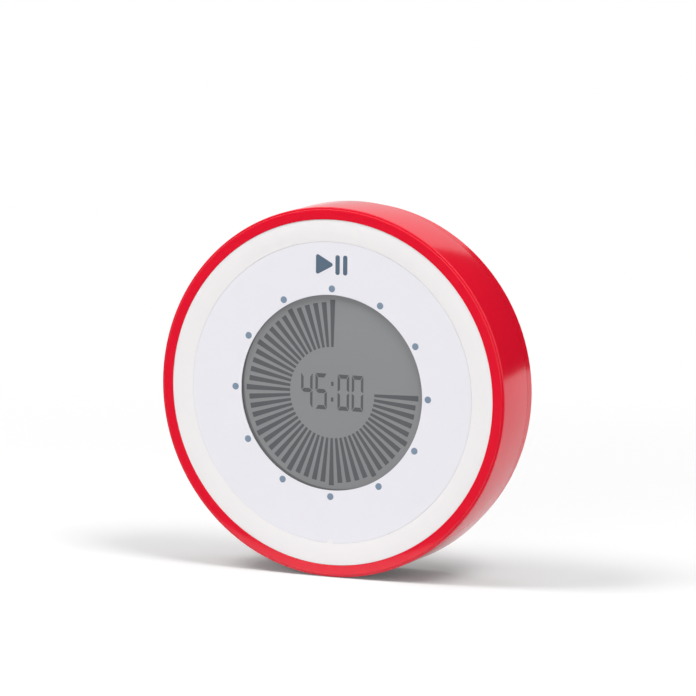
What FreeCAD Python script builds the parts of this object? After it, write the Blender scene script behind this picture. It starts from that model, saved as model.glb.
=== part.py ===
import FreeCAD, Part
import math
import os

V = FreeCAD.Vector
BACKWARD = V(0, 1, 0)

# Frame: +X right and +Z up as the face is read, face towards -Y, origin under the dial at mid depth.
# A depth is counted from the front of the ring towards the back.

# Outside
DIAL_R = 43.0
REAR_RIM = 4.8
SEAM_GAP = 0.2
FRONT_ROUNDING = 0.85
REAR_STEP = 0.05
REAR_DRAFT = 0.85
REAR_ROUNDING = 0.5
REAR_RIM_WALL = 1.9
COLLAR_GAP = 0.1
COLLAR_WALL = 1.2
COLLAR_SETBACK = 0.3
WALL = 1.6

# Face
FACE_RECESS = 0.1
RED_WIDTH = 2.8
WHITE_WIDTH = 5.13
FACE_GAP = 0.15
PRINTED_WIDTH = 12.32
KEY_WIDTH = 1.5
KEY_REACH = 0.75
BEZEL_THICKNESS = 1.25
SKIRT_DEPTH = 1.7
SKIRT_GAP = 0.05

# Bearing between the middle frame and the ring
JOURNAL_WALL = 2.0
JOURNAL_TO_TEETH = 0.8
BEARING_CLEARANCE = 0.08
END_FLOAT = 0.1
LIP_THICKNESS = 1.95
LAND_LENGTH = 1.2
JOURNAL_OVERHANG = 1.2
JOURNAL_RELIEF = 0.4
JOURNAL_BAND = 0.4
FUSE_OVERLAP = 0.5

# Gear pair: toothed insert inside the ring, pinion on the encoder
RING_WALL = 1.4
MODULE = 0.8
PINION_TEETH = 20
PRESSURE_ANGLE = math.radians(20)
BACKLASH = 0.12
ROOT_CLEARANCE = 0.2
RING_TOOTH_WIDTH = 4.4
PINION_WIDTH = 3.4
INSERT_RIM = 0.6
INSERT_KEYS = 6
INSERT_KEY_WIDTH = 3.0
INSERT_KEY_HEIGHT = 0.3
INSERT_SHOULDER = 0.4
ENCODER_ANGLE = math.radians(60)
RING_FLANK_STEPS = 2
PINION_FLANK_STEPS = 5

# Press travel of the face
PRESS_TRAVEL = 0.35
OVERLAY_THICKNESS = 0.3
PLATE_THICKNESS = 1.2
RIB_INSET = 0.5
RIB_WIDTH = 1.0
RIB_HEIGHT = 0.8
SCREW_HOLE_FLOOR = 1.0
POST_R = 1.5
POST_INSET = 5.9
POST_ANGLES = (30, 150, -63.7, -116.3)
POST_CLEARANCE = 0.08
BUSH_WALL = 1.3
BUSH_LENGTH = 1.0
SCREW_HEAD_R = 2.1
SCREW_HEAD_THICKNESS = 0.8
SCREW_R = 0.6
PAD_R = 2.9
PAD_BORE_GAP = 0.2

# Display
GLASS_MARGIN = 0.85
GLASS_THICKNESS = 0.7
FILM_THICKNESS = 0.2
REFLECTOR_THICKNESS = 0.3
FILM_INSET = 0.2
LEDGE_WIDTH = 19.0
LEDGE_LENGTH = 3.6
GLASS_GAP = 0.2
CLIP_WIDTH = 2.7
CLIP_OVERLAP = 1.0
CLIP_THICKNESS = 0.8
RIBBON_THICKNESS = 0.15
RIBBON_FOOT = 3.0
RIBBON_LAP = 2.6
RIBBON_INSET = 0.5

# Main board
BOARD_GAP = 0.4
BOARD_THICKNESS = 1.0
BOARD_EDGE_GAP = 0.4
BOARD_SCREW_R = 0.9
BOARD_SCREW_HEAD_R = 1.6
BOARD_SCREW_INSET = 3.4
BOARD_SCREW_HEAD = 0.8
BOARD_SCREW_ANGLES = (0, 180, 118)
BOARD_SCREW_LENGTH = 4.2
BOARD_BOSS_WALL = 0.9
BOARD_BOSS_FLOOR = 0.6
SCREW_HOLE_GAP = 0.1
POST_HOLE_GAP = 0.4
SHELF_THICKNESS = 1.0
SHELF_WIDTH = 8.4
SHELF_TO_BOX = 0.4
SWITCH_SIZE = 4.5
SWITCH_HEIGHT = 1.6
SWITCH_INSET = 5.32
PRESS_PAD_R = 1.6
PLUNGER_R = 1.1
PLUNGER_CLEARANCE = 0.08
PLUNGER_END_GAP = 0.1
SWITCH_FLOOR = 0.4
TOUCH_GAP = 0.02
ENCODER_SIZE = 7.0
ENCODER_HEIGHT = 3.2
ENCODER_GAP = 0.3
ENCODER_FLOOR = 0.6
ENCODER_NECK_WALL = 1.2
BRACKET_HALF_WIDTH = 3.0
BRACKET_THICKNESS = 0.9
PINION_END_GAP = 0.1
PINION_ROOM = 0.5
PINION_HUB_WALL = 1.6
PINION_RIM = 1.2
PINION_WEB_DEPTH = 1.2
SHAFT_R = 1.0
SHAFT_CLEARANCE = 0.05

# Battery box
CELL_R = 5.25
CELL_BODY = 43.5
CELL_NUB_R = 1.9
CELL_NUB = 1.0
CELL_GAP = 0.3
BOX_GAP = 0.15
BOX_WALL = 1.2
BOX_FLOOR = 0.8
BOX_CORNER_GAP = 0.7
BOX_TO_PLATE = 0.1
BOX_TO_SCREW = 0.9
RIDGE_ROOT = 0.2
RIDGE_HEIGHT = 1.6
RIDGE_HALF_WIDTH = 2.2
RIDGE_TO_CELL = 0.1
CONTACT_THICKNESS = 0.4
CONTACT_SPRING = 4.75
SPRING_WIRE_R = 0.35
SPRING_R = 2.9
SPRING_TURNS = 3
WIRE_SIDES = 6
LEG_WIDTH = 2.4
LEG_GAP = 0.1
LEG_ROOM = 1.0
LEG_REACH = 0.2
CONTACT_FOOT = 0.3
CONTACT_INSET = 0.6

# Battery door
DOOR_THICKNESS = 1.2
DOOR_RIM = 1.5
DOOR_GAP = 0.15
DOOR_CORNER_R = 2.5
DOOR_LIP_R = 0.5
EAR_R = 3.3
EAR_THICKNESS = 2.0
EAR_REACH = 3.4
EAR_SEAT = 0.9
EAR_FLOOR = 0.8
DOOR_SCREW_R = 0.8
DOOR_SCREW_HEAD_R = 1.8
DOOR_SCREW_LENGTH = 4.5
DOOR_SCREW_GAP = 0.08
DOOR_HOLE_FLOOR = 0.5
DOOR_TIP_GAP = 0.3
DOOR_HEAD_SINK = 0.15
DOOR_BOSS_R = 2.3
RELIEF = 0.15

# Housing screws and magnets
HOUSING_SCREW_R = 0.95
HOUSING_SCREW_HEAD_R = 1.85
HOUSING_SCREW_INSET = 2.4
HOUSING_SCREW_ANGLES = (12, 168, -58, -122)
HOUSING_SCREW_LENGTH = 8.6
HOUSING_SCREW_SINK = 2.0
HOUSING_POST_GAP = 0.4
SINK_WALL = 1.0
HEAD_GAP = 0.2
FRAME_GAP = 0.1
HEAD_HEIGHT = 1.2
BOSS_R = 2.4
BOSS_LENGTH = 8.4
MAGNET_R = 5.0
MAGNET_THICKNESS = 2.6
MAGNET_INSET = 3.1
MAGNET_ANGLES = (45, 135, -73.5, -106.5)
POCKET_WALL = 1.1
POCKET_FLOOR = 0.8

# Small parts of the main board: half sizes, heights and places
CHIP_HALF = 3.5
CHIP_HEIGHT = 1.0
CHIP_LEG = 1.0
CHIP_LIFT = 0.1
CHIP_X = -10.5
CHIP_TO_SHELF = 5.5
CRYSTAL_R = 1.0
CRYSTAL_LENGTH = 6.0
CRYSTAL_X = 2.0
CRYSTAL_TO_CAPACITOR = 7.2
CAPACITOR_R = 2.0
CAPACITOR_HEIGHT = 5.0
CAPACITOR_TO_SHELF = 8.0
CAPACITOR_XS = (-2.0, 3.0)

# Sounder and volume switch
SOUNDER_X = -9.5
SOUNDER_RIM = 1.2
SOUNDER_SEAT = 0.8
SOUNDER_TO_BOX = 0.8
SOUNDER_R = 9.5
SOUNDER_DISC = 0.25
CERAMIC_R = 6.5
CERAMIC_THICKNESS = 0.2
SOUNDER_CAVITY = 2.2
SOUND_HOLE_R = 0.7
SOUND_HOLE_CIRCLE_R = 3.2
SOUND_HOLES = 6
VOLUME_X = 12.5
VOLUME_TO_BOX = 6.5
VOLUME_TRAVEL = 2.0
KNOB_LENGTH = 4.4
KNOB_HEIGHT = 3.2
KNOB_DEPTH = 0.75
KNOB_SINK = 0.15
KNOB_GAP = 0.3
KNOB_RIBS = 3
KNOB_GROOVE = 0.4
STEM_GAP = 0.2
STEM_ENTRY = 0.8
STEM_LENGTH = 2.2
STEM_HEIGHT = 1.6
VOLUME_BODY_LENGTH = 9.2
VOLUME_BODY_HEIGHT = 4.0
VOLUME_BODY_DEPTH = 2.4
VOLUME_BOARD_LENGTH = 22.0
VOLUME_BOARD_HEIGHT = 9.0
VOLUME_BOARD_THICKNESS = 0.8
VOLUME_POST_X = 8.4
VOLUME_POST_R = 1.7
VOLUME_SCREW_R = 0.6
VOLUME_SCREW_HEAD_R = 1.3
VOLUME_SCREW_HEAD = 0.6
VOLUME_BACK_GAP = 0.4
RECESS_FLOOR_GAP = 0.1
HEADER_PINS = 4
HEADER_PITCH = 2.54
HEADER_PIN = 0.64
HEADER_BASE = 2.5

# Sizes that follow from the ones above
RED_EDGE_R = DIAL_R - RED_WIDTH
FACE_LINE_R = RED_EDGE_R - WHITE_WIDTH
WINDOW_R = FACE_LINE_R - PRINTED_WIDTH
INSERT_R = DIAL_R - RING_WALL
RING_TEETH = round(2 * (INSERT_R - INSERT_RIM - ROOT_CLEARANCE - MODULE) / MODULE)
PITCH_R = MODULE * RING_TEETH / 2
RING_ROOT_R = PITCH_R + MODULE + ROOT_CLEARANCE
RING_TIP_R = PITCH_R - MODULE
JOURNAL_R = RING_TIP_R - JOURNAL_TO_TEETH
INNER_R = JOURNAL_R - JOURNAL_WALL
BEARING_R = JOURNAL_R + BEARING_CLEARANCE
POST_CIRCLE_R = INNER_R - POST_INSET
BOARD_SCREW_CIRCLE_R = INNER_R - BOARD_SCREW_INSET
HOUSING_SCREW_CIRCLE_R = INNER_R - HOUSING_SCREW_INSET
SHELF_INNER_R = INNER_R - SHELF_WIDTH
SWITCH_Z = FACE_LINE_R - SWITCH_INSET
GLASS_R = WINDOW_R + GLASS_MARGIN
PLATE_R = FACE_LINE_R - FACE_GAP / 2
BEZEL_IN_R = FACE_LINE_R + FACE_GAP / 2
BEZEL_OUT_R = RED_EDGE_R - END_FLOAT
BEZEL_BACK = FACE_RECESS + BEZEL_THICKNESS
LIP_FRONT = BEZEL_BACK + END_FLOAT
LIP_BACK = LIP_FRONT + LIP_THICKNESS

PINION_PITCH_R = MODULE * PINION_TEETH / 2
PINION_ROOT_R = PINION_PITCH_R - MODULE - ROOT_CLEARANCE
PINION_TIP_R = PINION_PITCH_R + MODULE
CENTRE_DISTANCE = PITCH_R - PINION_PITCH_R
ENCODER_X = CENTRE_DISTANCE * math.cos(ENCODER_ANGLE)
ENCODER_Z = CENTRE_DISTANCE * math.sin(ENCODER_ANGLE)

OVERLAY_BACK = FACE_RECESS + OVERLAY_THICKNESS
PLATE_BACK = OVERLAY_BACK + PLATE_THICKNESS
FRONT_GLASS = OVERLAY_BACK + FILM_THICKNESS
REAR_GLASS = FRONT_GLASS + GLASS_THICKNESS
REFLECTOR = REAR_GLASS + GLASS_THICKNESS
CLIP_FRONT = REFLECTOR + REFLECTOR_THICKNESS
CLIP_BACK = CLIP_FRONT + CLIP_THICKNESS
BOARD_FRONT = CLIP_BACK + PRESS_TRAVEL + BOARD_GAP
BOARD_BACK = BOARD_FRONT + BOARD_THICKNESS
BOARD_R = INNER_R - BOARD_EDGE_GAP
SHELF_BACK = BOARD_BACK + SHELF_THICKNESS
BUSH_BACK = SHELF_BACK + BUSH_LENGTH
POST_BACK = BUSH_BACK + TOUCH_GAP
LEDGE_END_Z = -(GLASS_R + LEDGE_LENGTH)

BOX_FRONT = SHELF_BACK + SHELF_TO_BOX
CHAMBER_FRONT = BOX_FRONT + BOX_FLOOR
CHAMBER_BACK = CHAMBER_FRONT + 2 * CELL_R + BOX_GAP
BACK_INNER = CHAMBER_BACK + BOX_TO_PLATE
BODY_DEPTH = BACK_INNER + WALL
RING_DEPTH = BODY_DEPTH - REAR_RIM - SEAM_GAP
INSERT_LAND = RING_DEPTH - LAND_LENGTH
INSERT_FRONT = INSERT_LAND - RING_TOOTH_WIDTH
HOUSING_FRONT = RING_DEPTH + SEAM_GAP
FRAME_BACK = HOUSING_FRONT + JOURNAL_OVERHANG
HOUSING_R = DIAL_R - REAR_STEP
PINION_FRONT = INSERT_FRONT + (RING_TOOTH_WIDTH - PINION_WIDTH) / 2
PINION_BACK = PINION_FRONT + PINION_WIDTH
BRACKET_FRONT = INSERT_LAND + PINION_END_GAP
BRACKET_BACK = BRACKET_FRONT + BRACKET_THICKNESS

CELL_SPAN = CELL_BODY + CELL_NUB + CONTACT_SPRING
CHAMBER_X = CELL_SPAN / 2 + CONTACT_THICKNESS
BOX_X = CHAMBER_X + BOX_WALL
BOX_HEIGHT = 4 * CELL_R + CELL_GAP + 2 * BOX_GAP + 2 * BOX_WALL
LOWEST_BY_FRAME = -math.sqrt((INNER_R - BOX_CORNER_GAP) ** 2 - BOX_X ** 2)
LOWEST_BY_SCREWS = POST_CIRCLE_R * math.sin(math.radians(POST_ANGLES[2])) + SCREW_HEAD_R + BOX_TO_SCREW
BOX_BOTTOM_Z = max(LOWEST_BY_FRAME, LOWEST_BY_SCREWS)
BOX_TOP_Z = BOX_BOTTOM_Z + BOX_HEIGHT
CHAMBER_TOP = BOX_TOP_Z - BOX_WALL
UPPER_CELL_Z = CHAMBER_TOP - BOX_GAP - CELL_R
LOWER_CELL_Z = UPPER_CELL_Z - 2 * CELL_R - CELL_GAP
CHAMBER_BOTTOM = LOWER_CELL_Z - CELL_R - BOX_GAP
CELL_DEPTH = CHAMBER_FRONT + CELL_R
BOX_MID_Z = (BOX_TOP_Z + BOX_BOTTOM_Z) / 2
DOOR_FRONT = BODY_DEPTH - DOOR_THICKNESS
DOOR_X = BOX_X + DOOR_RIM - DOOR_GAP
DOOR_TOP = BOX_TOP_Z + DOOR_RIM - DOOR_GAP
DOOR_BOTTOM = BOX_BOTTOM_Z - DOOR_RIM + DOOR_GAP
EAR_X = BOX_X + EAR_REACH
EAR_FRONT = BODY_DEPTH - EAR_THICKNESS
DOOR_HEAD_FRONT = BODY_DEPTH - HEAD_HEIGHT
HOUSING_HEAD_FRONT = BODY_DEPTH - HOUSING_SCREW_SINK
HOUSING_POST_FRONT = HOUSING_FRONT + HOUSING_POST_GAP

CHIP_REACH = CHIP_HALF + CHIP_LEG
CHIP_Z = math.sqrt((SHELF_INNER_R - CHIP_TO_SHELF) ** 2 - (CHIP_REACH - CHIP_X) ** 2) - CHIP_REACH
CAPACITOR_Z = SHELF_INNER_R - CAPACITOR_TO_SHELF
CRYSTAL_Z = CAPACITOR_Z - CRYSTAL_TO_CAPACITOR
SOUNDER_Z = BOX_TOP_Z + SOUNDER_TO_BOX + SOUNDER_RIM + SOUNDER_R
SOUNDER_FRONT = BACK_INNER - SOUNDER_CAVITY - SOUNDER_DISC
VOLUME_Z = BOX_TOP_Z + VOLUME_TO_BOX
MAGNET_CIRCLE_R = HOUSING_R - REAR_DRAFT - MAGNET_R - MAGNET_INSET
KNOB_BACK = BODY_DEPTH - KNOB_SINK
KNOB_FRONT = KNOB_BACK - KNOB_DEPTH
RECESS_FRONT = KNOB_FRONT - RECESS_FLOOR_GAP
VOLUME_BODY_BACK = BACK_INNER - VOLUME_BACK_GAP
VOLUME_BODY_FRONT = VOLUME_BODY_BACK - VOLUME_BODY_DEPTH
VOLUME_BOARD_FRONT = VOLUME_BODY_FRONT - VOLUME_BOARD_THICKNESS
STEM_FRONT = VOLUME_BODY_BACK - STEM_ENTRY

AXIS_Z = DIAL_R
FRONT_Y = -BODY_DEPTH / 2


def at(x, depth, z):
    """Point from its place on the face and its depth behind the front."""
    return V(x, FRONT_Y + depth, AXIS_Z + z)


def polar(radius, degrees):
    """Place on the face from a radius and an angle counted from +X towards +Z."""
    turn = math.radians(degrees)
    return radius * math.cos(turn), radius * math.sin(turn)


def disc(radius, front, back, x=0.0, z=0.0):
    return Part.makeCylinder(radius, back - front, at(x, front, z), BACKWARD)


def tube(outer_r, inner_r, front, back, x=0.0, z=0.0):
    return disc(outer_r, front, back, x, z).cut(disc(inner_r, front, back, x, z))


def block(x_low, x_high, front, back, z_low, z_high):
    return Part.makeBox(x_high - x_low, back - front, z_high - z_low, at(x_low, front, z_low))


def turned(profile):
    """Solid of revolution about the dial axis from (radius, depth) corners."""
    corners = [at(radius, depth, 0) for radius, depth in profile]
    face = Part.Face(Part.makePolygon(corners + corners[:1]))
    return face.revolve(at(0, 0, 0), BACKWARD, 360)


def slab(outline, front, back):
    """Plate with the (x, z) outline given, between two depths."""
    corners = [at(x, front, z) for x, z in outline]
    face = Part.Face(Part.makePolygon(corners + corners[:1]))
    return face.extrude(BACKWARD * (back - front))


def rounded_block(x_low, x_high, front, back, z_low, z_high, radius):
    """Block whose four edges along the depth are rounded."""
    solid = block(x_low, x_high, front, back, z_low, z_high)
    edges = [edge for edge in solid.Edges if abs(edge.tangentAt(edge.FirstParameter).y) > 0.9]
    return solid.makeFillet(radius, edges)


def circle_edges(shape, radius, depth):
    """Full circles of the given radius round the dial axis at one depth."""
    found = []
    for edge in shape.Edges:
        is_circle = isinstance(edge.Curve, Part.Circle)
        if is_circle and abs(edge.Curve.Radius - radius) < 0.001:
            if abs(edge.Curve.Center.y - FRONT_Y - depth) < 0.001:
                found.append(edge)
    return found


def spin(shape, degrees, x=0.0, z=0.0):
    """Copy turned about an axis along the depth, counted from +X towards +Z."""
    copy = shape.copy()
    copy.rotate(at(x, 0, z), BACKWARD, -degrees)
    return copy


def involute(angle):
    return math.tan(angle) - angle


def gear_outline(teeth, root_r, tip_r, widening, steps):
    """Involute gear outline with a tooth on the +X axis; widening is added at the pitch circle."""
    pitch_r = MODULE * teeth / 2
    base_r = pitch_r * math.cos(PRESSURE_ANGLE)
    at_pitch = math.pi / (2 * teeth) + widening / (2 * pitch_r)
    flank = []
    for step in range(steps + 1):
        radius = root_r + (tip_r - root_r) * step / steps
        pressure = math.acos(min(1.0, base_r / max(radius, base_r)))
        flank.append((radius, at_pitch + involute(PRESSURE_ANGLE) - involute(pressure)))
    outline = []
    for tooth in range(teeth):
        middle = 2 * math.pi * tooth / teeth
        for radius, half in flank:
            outline.append((radius * math.cos(middle - half), radius * math.sin(middle - half)))
        for radius, half in reversed(flank):
            outline.append((radius * math.cos(middle + half), radius * math.sin(middle + half)))
    return outline


def insert_keys():
    """Keys that stop the toothed insert turning inside the ring."""
    key = block(INSERT_R - INSERT_KEY_HEIGHT, INSERT_R + FUSE_OVERLAP, INSERT_FRONT, RING_DEPTH,
                -INSERT_KEY_WIDTH / 2, INSERT_KEY_WIDTH / 2)
    return [spin(key, 360 * index / INSERT_KEYS) for index in range(INSERT_KEYS)]


def twist_ring():
    shoulder_r = INSERT_R - INSERT_SHOULDER
    solid = turned([(RED_EDGE_R, 0), (DIAL_R, 0), (DIAL_R, RING_DEPTH), (INSERT_R, RING_DEPTH),
                    (INSERT_R, INSERT_FRONT), (shoulder_r, INSERT_FRONT), (shoulder_r, LIP_BACK),
                    (BEARING_R, LIP_BACK), (BEARING_R, LIP_FRONT), (RED_EDGE_R, LIP_FRONT)])
    solid = solid.makeFillet(FRONT_ROUNDING, circle_edges(solid, DIAL_R, 0))
    for key in insert_keys():
        solid = solid.fuse(key)
    return solid.removeSplitter()


def dial_gear():
    spaces = gear_outline(RING_TEETH, RING_TIP_R, RING_ROOT_R, BACKLASH, RING_FLANK_STEPS)
    teeth_hole = slab(spaces, INSERT_FRONT, INSERT_LAND)
    middle_space = round(math.degrees(ENCODER_ANGLE) / (360 / RING_TEETH)) * 360 / RING_TEETH
    teeth_hole = spin(teeth_hole, math.degrees(ENCODER_ANGLE) - middle_space)
    band = disc(INSERT_R, INSERT_FRONT, INSERT_LAND).cut(teeth_hole)
    land = tube(INSERT_R, BEARING_R, INSERT_LAND, RING_DEPTH)
    solid = band.fuse(land)
    for key in insert_keys():
        solid = solid.cut(key)
    return solid


def face_bezel():
    skirt_r = INNER_R - SKIRT_GAP
    skirt_back = BEZEL_BACK + SKIRT_DEPTH
    solid = turned([(BEZEL_IN_R, FACE_RECESS), (BEZEL_OUT_R, FACE_RECESS), (BEZEL_OUT_R, BEZEL_BACK),
                    (skirt_r, BEZEL_BACK), (skirt_r, skirt_back), (BEZEL_IN_R, skirt_back)])
    key = block(-KEY_WIDTH / 2, KEY_WIDTH / 2, FACE_RECESS, BEZEL_BACK,
                -(BEZEL_IN_R + FUSE_OVERLAP), -(BEZEL_IN_R - KEY_REACH))
    return solid.fuse(key)


def key_slot(front, back):
    """Slot in the face sheet and plate round the bezel's key."""
    half = KEY_WIDTH / 2 + FACE_GAP
    return block(-half, half, front, back, -(PLATE_R + 1), -(BEZEL_IN_R - KEY_REACH - FACE_GAP))


def face_overlay():
    sheet = disc(PLATE_R, FACE_RECESS, OVERLAY_BACK)
    return sheet.cut(key_slot(FACE_RECESS, OVERLAY_BACK))


def ledge_opening(front, back, gap):
    """Room for the display's contact ledge."""
    half = LEDGE_WIDTH / 2 + gap
    end = LEDGE_END_Z - 2 * gap - RIBBON_THICKNESS
    return block(-half, half, front, back, end, 0)


def post_places():
    return [polar(POST_CIRCLE_R, degrees) for degrees in POST_ANGLES]


def face_plate():
    solid = disc(PLATE_R, OVERLAY_BACK, PLATE_BACK)
    rib_out = PLATE_R - RIB_INSET
    solid = solid.fuse(tube(rib_out, rib_out - RIB_WIDTH, PLATE_BACK, PLATE_BACK + RIB_HEIGHT))
    for x, z in post_places():
        solid = solid.fuse(disc(POST_R, PLATE_BACK, POST_BACK, x, z))
        solid = solid.cut(disc(SCREW_R, PLATE_BACK + SCREW_HOLE_FLOOR, POST_BACK, x, z))
    pad_back = BOARD_FRONT - SWITCH_HEIGHT - PRESS_TRAVEL - 2 * TOUCH_GAP
    solid = solid.fuse(disc(PRESS_PAD_R, PLATE_BACK, pad_back, 0, SWITCH_Z))
    solid = solid.cut(disc(GLASS_R + GLASS_GAP, OVERLAY_BACK, PLATE_BACK))
    solid = solid.cut(ledge_opening(OVERLAY_BACK, PLATE_BACK, GLASS_GAP))
    return solid.cut(key_slot(OVERLAY_BACK, PLATE_BACK + 1))


def guide_screws():
    solids = []
    for x, z in post_places():
        head = disc(SCREW_HEAD_R, POST_BACK, POST_BACK + SCREW_HEAD_THICKNESS, x, z)
        shank_front = PLATE_BACK + SCREW_HOLE_FLOOR + SCREW_HOLE_GAP
        solids.append(head.fuse(disc(SCREW_R, shank_front, POST_BACK, x, z)))
    return Part.makeCompound(solids)


def return_pads():
    bore_r = POST_R + PAD_BORE_GAP
    return Part.makeCompound([tube(PAD_R, bore_r, PLATE_BACK, BOARD_FRONT, x, z) for x, z in post_places()])


def front_polariser():
    return disc(GLASS_R - FILM_INSET, OVERLAY_BACK, FRONT_GLASS)


def lcd_front_glass():
    return disc(GLASS_R, FRONT_GLASS, REAR_GLASS)


def lcd_rear_glass():
    ledge = block(-LEDGE_WIDTH / 2, LEDGE_WIDTH / 2, REAR_GLASS, REFLECTOR, LEDGE_END_Z, 0)
    return disc(GLASS_R, REAR_GLASS, REFLECTOR).fuse(ledge).removeSplitter()


def rear_reflector():
    return disc(GLASS_R - FILM_INSET, REFLECTOR, CLIP_FRONT)


def lcd_clip():
    rim_in = GLASS_R + GLASS_GAP
    solid = tube(rim_in + CLIP_WIDTH, GLASS_R - FILM_INSET - CLIP_OVERLAP, PLATE_BACK, CLIP_BACK)
    solid = solid.cut(disc(rim_in, PLATE_BACK, CLIP_FRONT))
    return solid.cut(ledge_opening(PLATE_BACK, CLIP_BACK, GLASS_GAP))


def lcd_ribbon():
    half = LEDGE_WIDTH / 2 - RIBBON_INSET
    outside = LEDGE_END_Z - GLASS_GAP - RIBBON_THICKNESS
    front = REAR_GLASS - RIBBON_THICKNESS
    foot_front = BOARD_FRONT - RIBBON_THICKNESS
    on_glass = block(-half, half, front, REAR_GLASS, outside, LEDGE_END_Z + RIBBON_LAP)
    drop = block(-half, half, front, BOARD_FRONT, outside, outside + RIBBON_THICKNESS)
    on_board = block(-half, half, foot_front, BOARD_FRONT, outside - RIBBON_FOOT, outside)
    return on_glass.fuse(drop).fuse(on_board).removeSplitter()


def board_screw_places():
    return [polar(BOARD_SCREW_CIRCLE_R, degrees) for degrees in BOARD_SCREW_ANGLES]


def leg_places():
    """Where the two sprung contacts' legs pass through the battery box and the board."""
    x = CONTACT_THICKNESS / 2 - CHAMBER_X
    return [(x, UPPER_CELL_Z), (x, LOWER_CELL_Z)]


def leg_slot(front, back, x, z):
    half = CONTACT_THICKNESS / 2 + LEG_GAP
    high = LEG_WIDTH / 2 + LEG_GAP
    return block(x - half, x + half, front, back, z - high, z + high)


def main_board():
    solid = disc(BOARD_R, BOARD_FRONT, BOARD_BACK)
    for x, z in post_places():
        solid = solid.cut(disc(POST_R + POST_HOLE_GAP, BOARD_FRONT, BOARD_BACK, x, z))
    for x, z in board_screw_places():
        solid = solid.cut(disc(BOARD_SCREW_R + SCREW_HOLE_GAP, BOARD_FRONT, BOARD_BACK, x, z))
    for x, z in leg_places():
        solid = solid.cut(leg_slot(BOARD_FRONT, BOARD_BACK, x, z))
    return solid


def board_screws():
    solids = []
    for x, z in board_screw_places():
        head = disc(BOARD_SCREW_HEAD_R, BOARD_FRONT - BOARD_SCREW_HEAD, BOARD_FRONT, x, z)
        solids.append(head.fuse(disc(BOARD_SCREW_R, BOARD_FRONT, BOARD_FRONT + BOARD_SCREW_LENGTH, x, z)))
    return Part.makeCompound(solids)


def encoder_bracket():
    """Arm of the middle frame that carries the far end of the encoder shaft."""
    half = BRACKET_HALF_WIDTH
    arm = block(CENTRE_DISTANCE, INNER_R + FUSE_OVERLAP, BRACKET_FRONT, BRACKET_BACK, -half, half)
    arm = arm.fuse(disc(half, BRACKET_FRONT, BRACKET_BACK, CENTRE_DISTANCE, 0))
    return spin(arm, math.degrees(ENCODER_ANGLE))


def middle_frame():
    relief_r = JOURNAL_R - JOURNAL_RELIEF
    back = FRAME_BACK
    front_band = LIP_BACK + JOURNAL_BAND
    rear_band = INSERT_LAND - JOURNAL_BAND
    solid = turned([(INNER_R, BEZEL_BACK), (JOURNAL_R, BEZEL_BACK), (JOURNAL_R, front_band),
                    (relief_r, front_band + JOURNAL_RELIEF), (relief_r, rear_band - JOURNAL_RELIEF),
                    (JOURNAL_R, rear_band),
                    (JOURNAL_R, back), (INNER_R, back), (INNER_R, SHELF_BACK), (SHELF_INNER_R, SHELF_BACK),
                    (SHELF_INNER_R, BOARD_BACK), (INNER_R, BOARD_BACK)])
    for x, z in post_places():
        solid = solid.fuse(disc(POST_R + BUSH_WALL, BOARD_BACK, BUSH_BACK, x, z))
    wall_inside = disc(INNER_R + FUSE_OVERLAP, BOARD_BACK, back)
    for degrees in HOUSING_SCREW_ANGLES:
        x, z = polar(HOUSING_SCREW_CIRCLE_R, degrees)
        boss = disc(BOSS_R, BOARD_BACK, HOUSING_POST_FRONT, x, z).common(wall_inside)
        solid = solid.fuse(boss)
        solid = solid.cut(disc(HOUSING_SCREW_R, HOUSING_POST_FRONT - BOSS_LENGTH, HOUSING_POST_FRONT, x, z))
    for x, z in board_screw_places():
        boss_end = BOARD_FRONT + BOARD_SCREW_LENGTH + BOARD_BOSS_FLOOR
        solid = solid.fuse(disc(BOARD_SCREW_R + BOARD_BOSS_WALL, BOARD_BACK, boss_end, x, z))
        solid = solid.cut(disc(BOARD_SCREW_R, BOARD_BACK, BOARD_FRONT + BOARD_SCREW_LENGTH, x, z))
    solid = solid.fuse(encoder_bracket())
    for x, z in post_places():
        solid = solid.cut(disc(POST_R + POST_CLEARANCE, BOARD_BACK, BUSH_BACK, x, z))
    room_r = PINION_TIP_R + PINION_ROOM
    pinion_room = disc(room_r, INSERT_FRONT - PINION_ROOM, BRACKET_FRONT, ENCODER_X, ENCODER_Z)
    solid = solid.cut(pinion_room)
    encoder_room = ENCODER_SIZE / math.sqrt(2) + ENCODER_GAP
    solid = solid.cut(disc(encoder_room, BOARD_BACK, SHELF_BACK, ENCODER_X, ENCODER_Z))
    solid = solid.cut(disc(SHAFT_R + SHAFT_CLEARANCE, BRACKET_FRONT, BRACKET_BACK, ENCODER_X, ENCODER_Z))
    for x, z in leg_places():
        reach = CONTACT_THICKNESS / 2 + LEG_ROOM
        solid = solid.cut(block(x - reach, x + reach, BOARD_BACK, SHELF_BACK, z - LEG_WIDTH, z + LEG_WIDTH))
    return solid.removeSplitter()


def switch_body():
    half = SWITCH_SIZE / 2
    front = BOARD_FRONT - SWITCH_HEIGHT
    solid = block(-half, half, front, BOARD_FRONT, SWITCH_Z - half, SWITCH_Z + half)
    well_r = PLUNGER_R + PLUNGER_CLEARANCE
    return solid.cut(disc(well_r, front, BOARD_FRONT - SWITCH_FLOOR, 0, SWITCH_Z))


def switch_plunger():
    front = BOARD_FRONT - SWITCH_HEIGHT - PRESS_TRAVEL - TOUCH_GAP
    back = BOARD_FRONT - SWITCH_FLOOR - PRESS_TRAVEL - PLUNGER_END_GAP
    return disc(PLUNGER_R, front, back, 0, SWITCH_Z)


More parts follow.
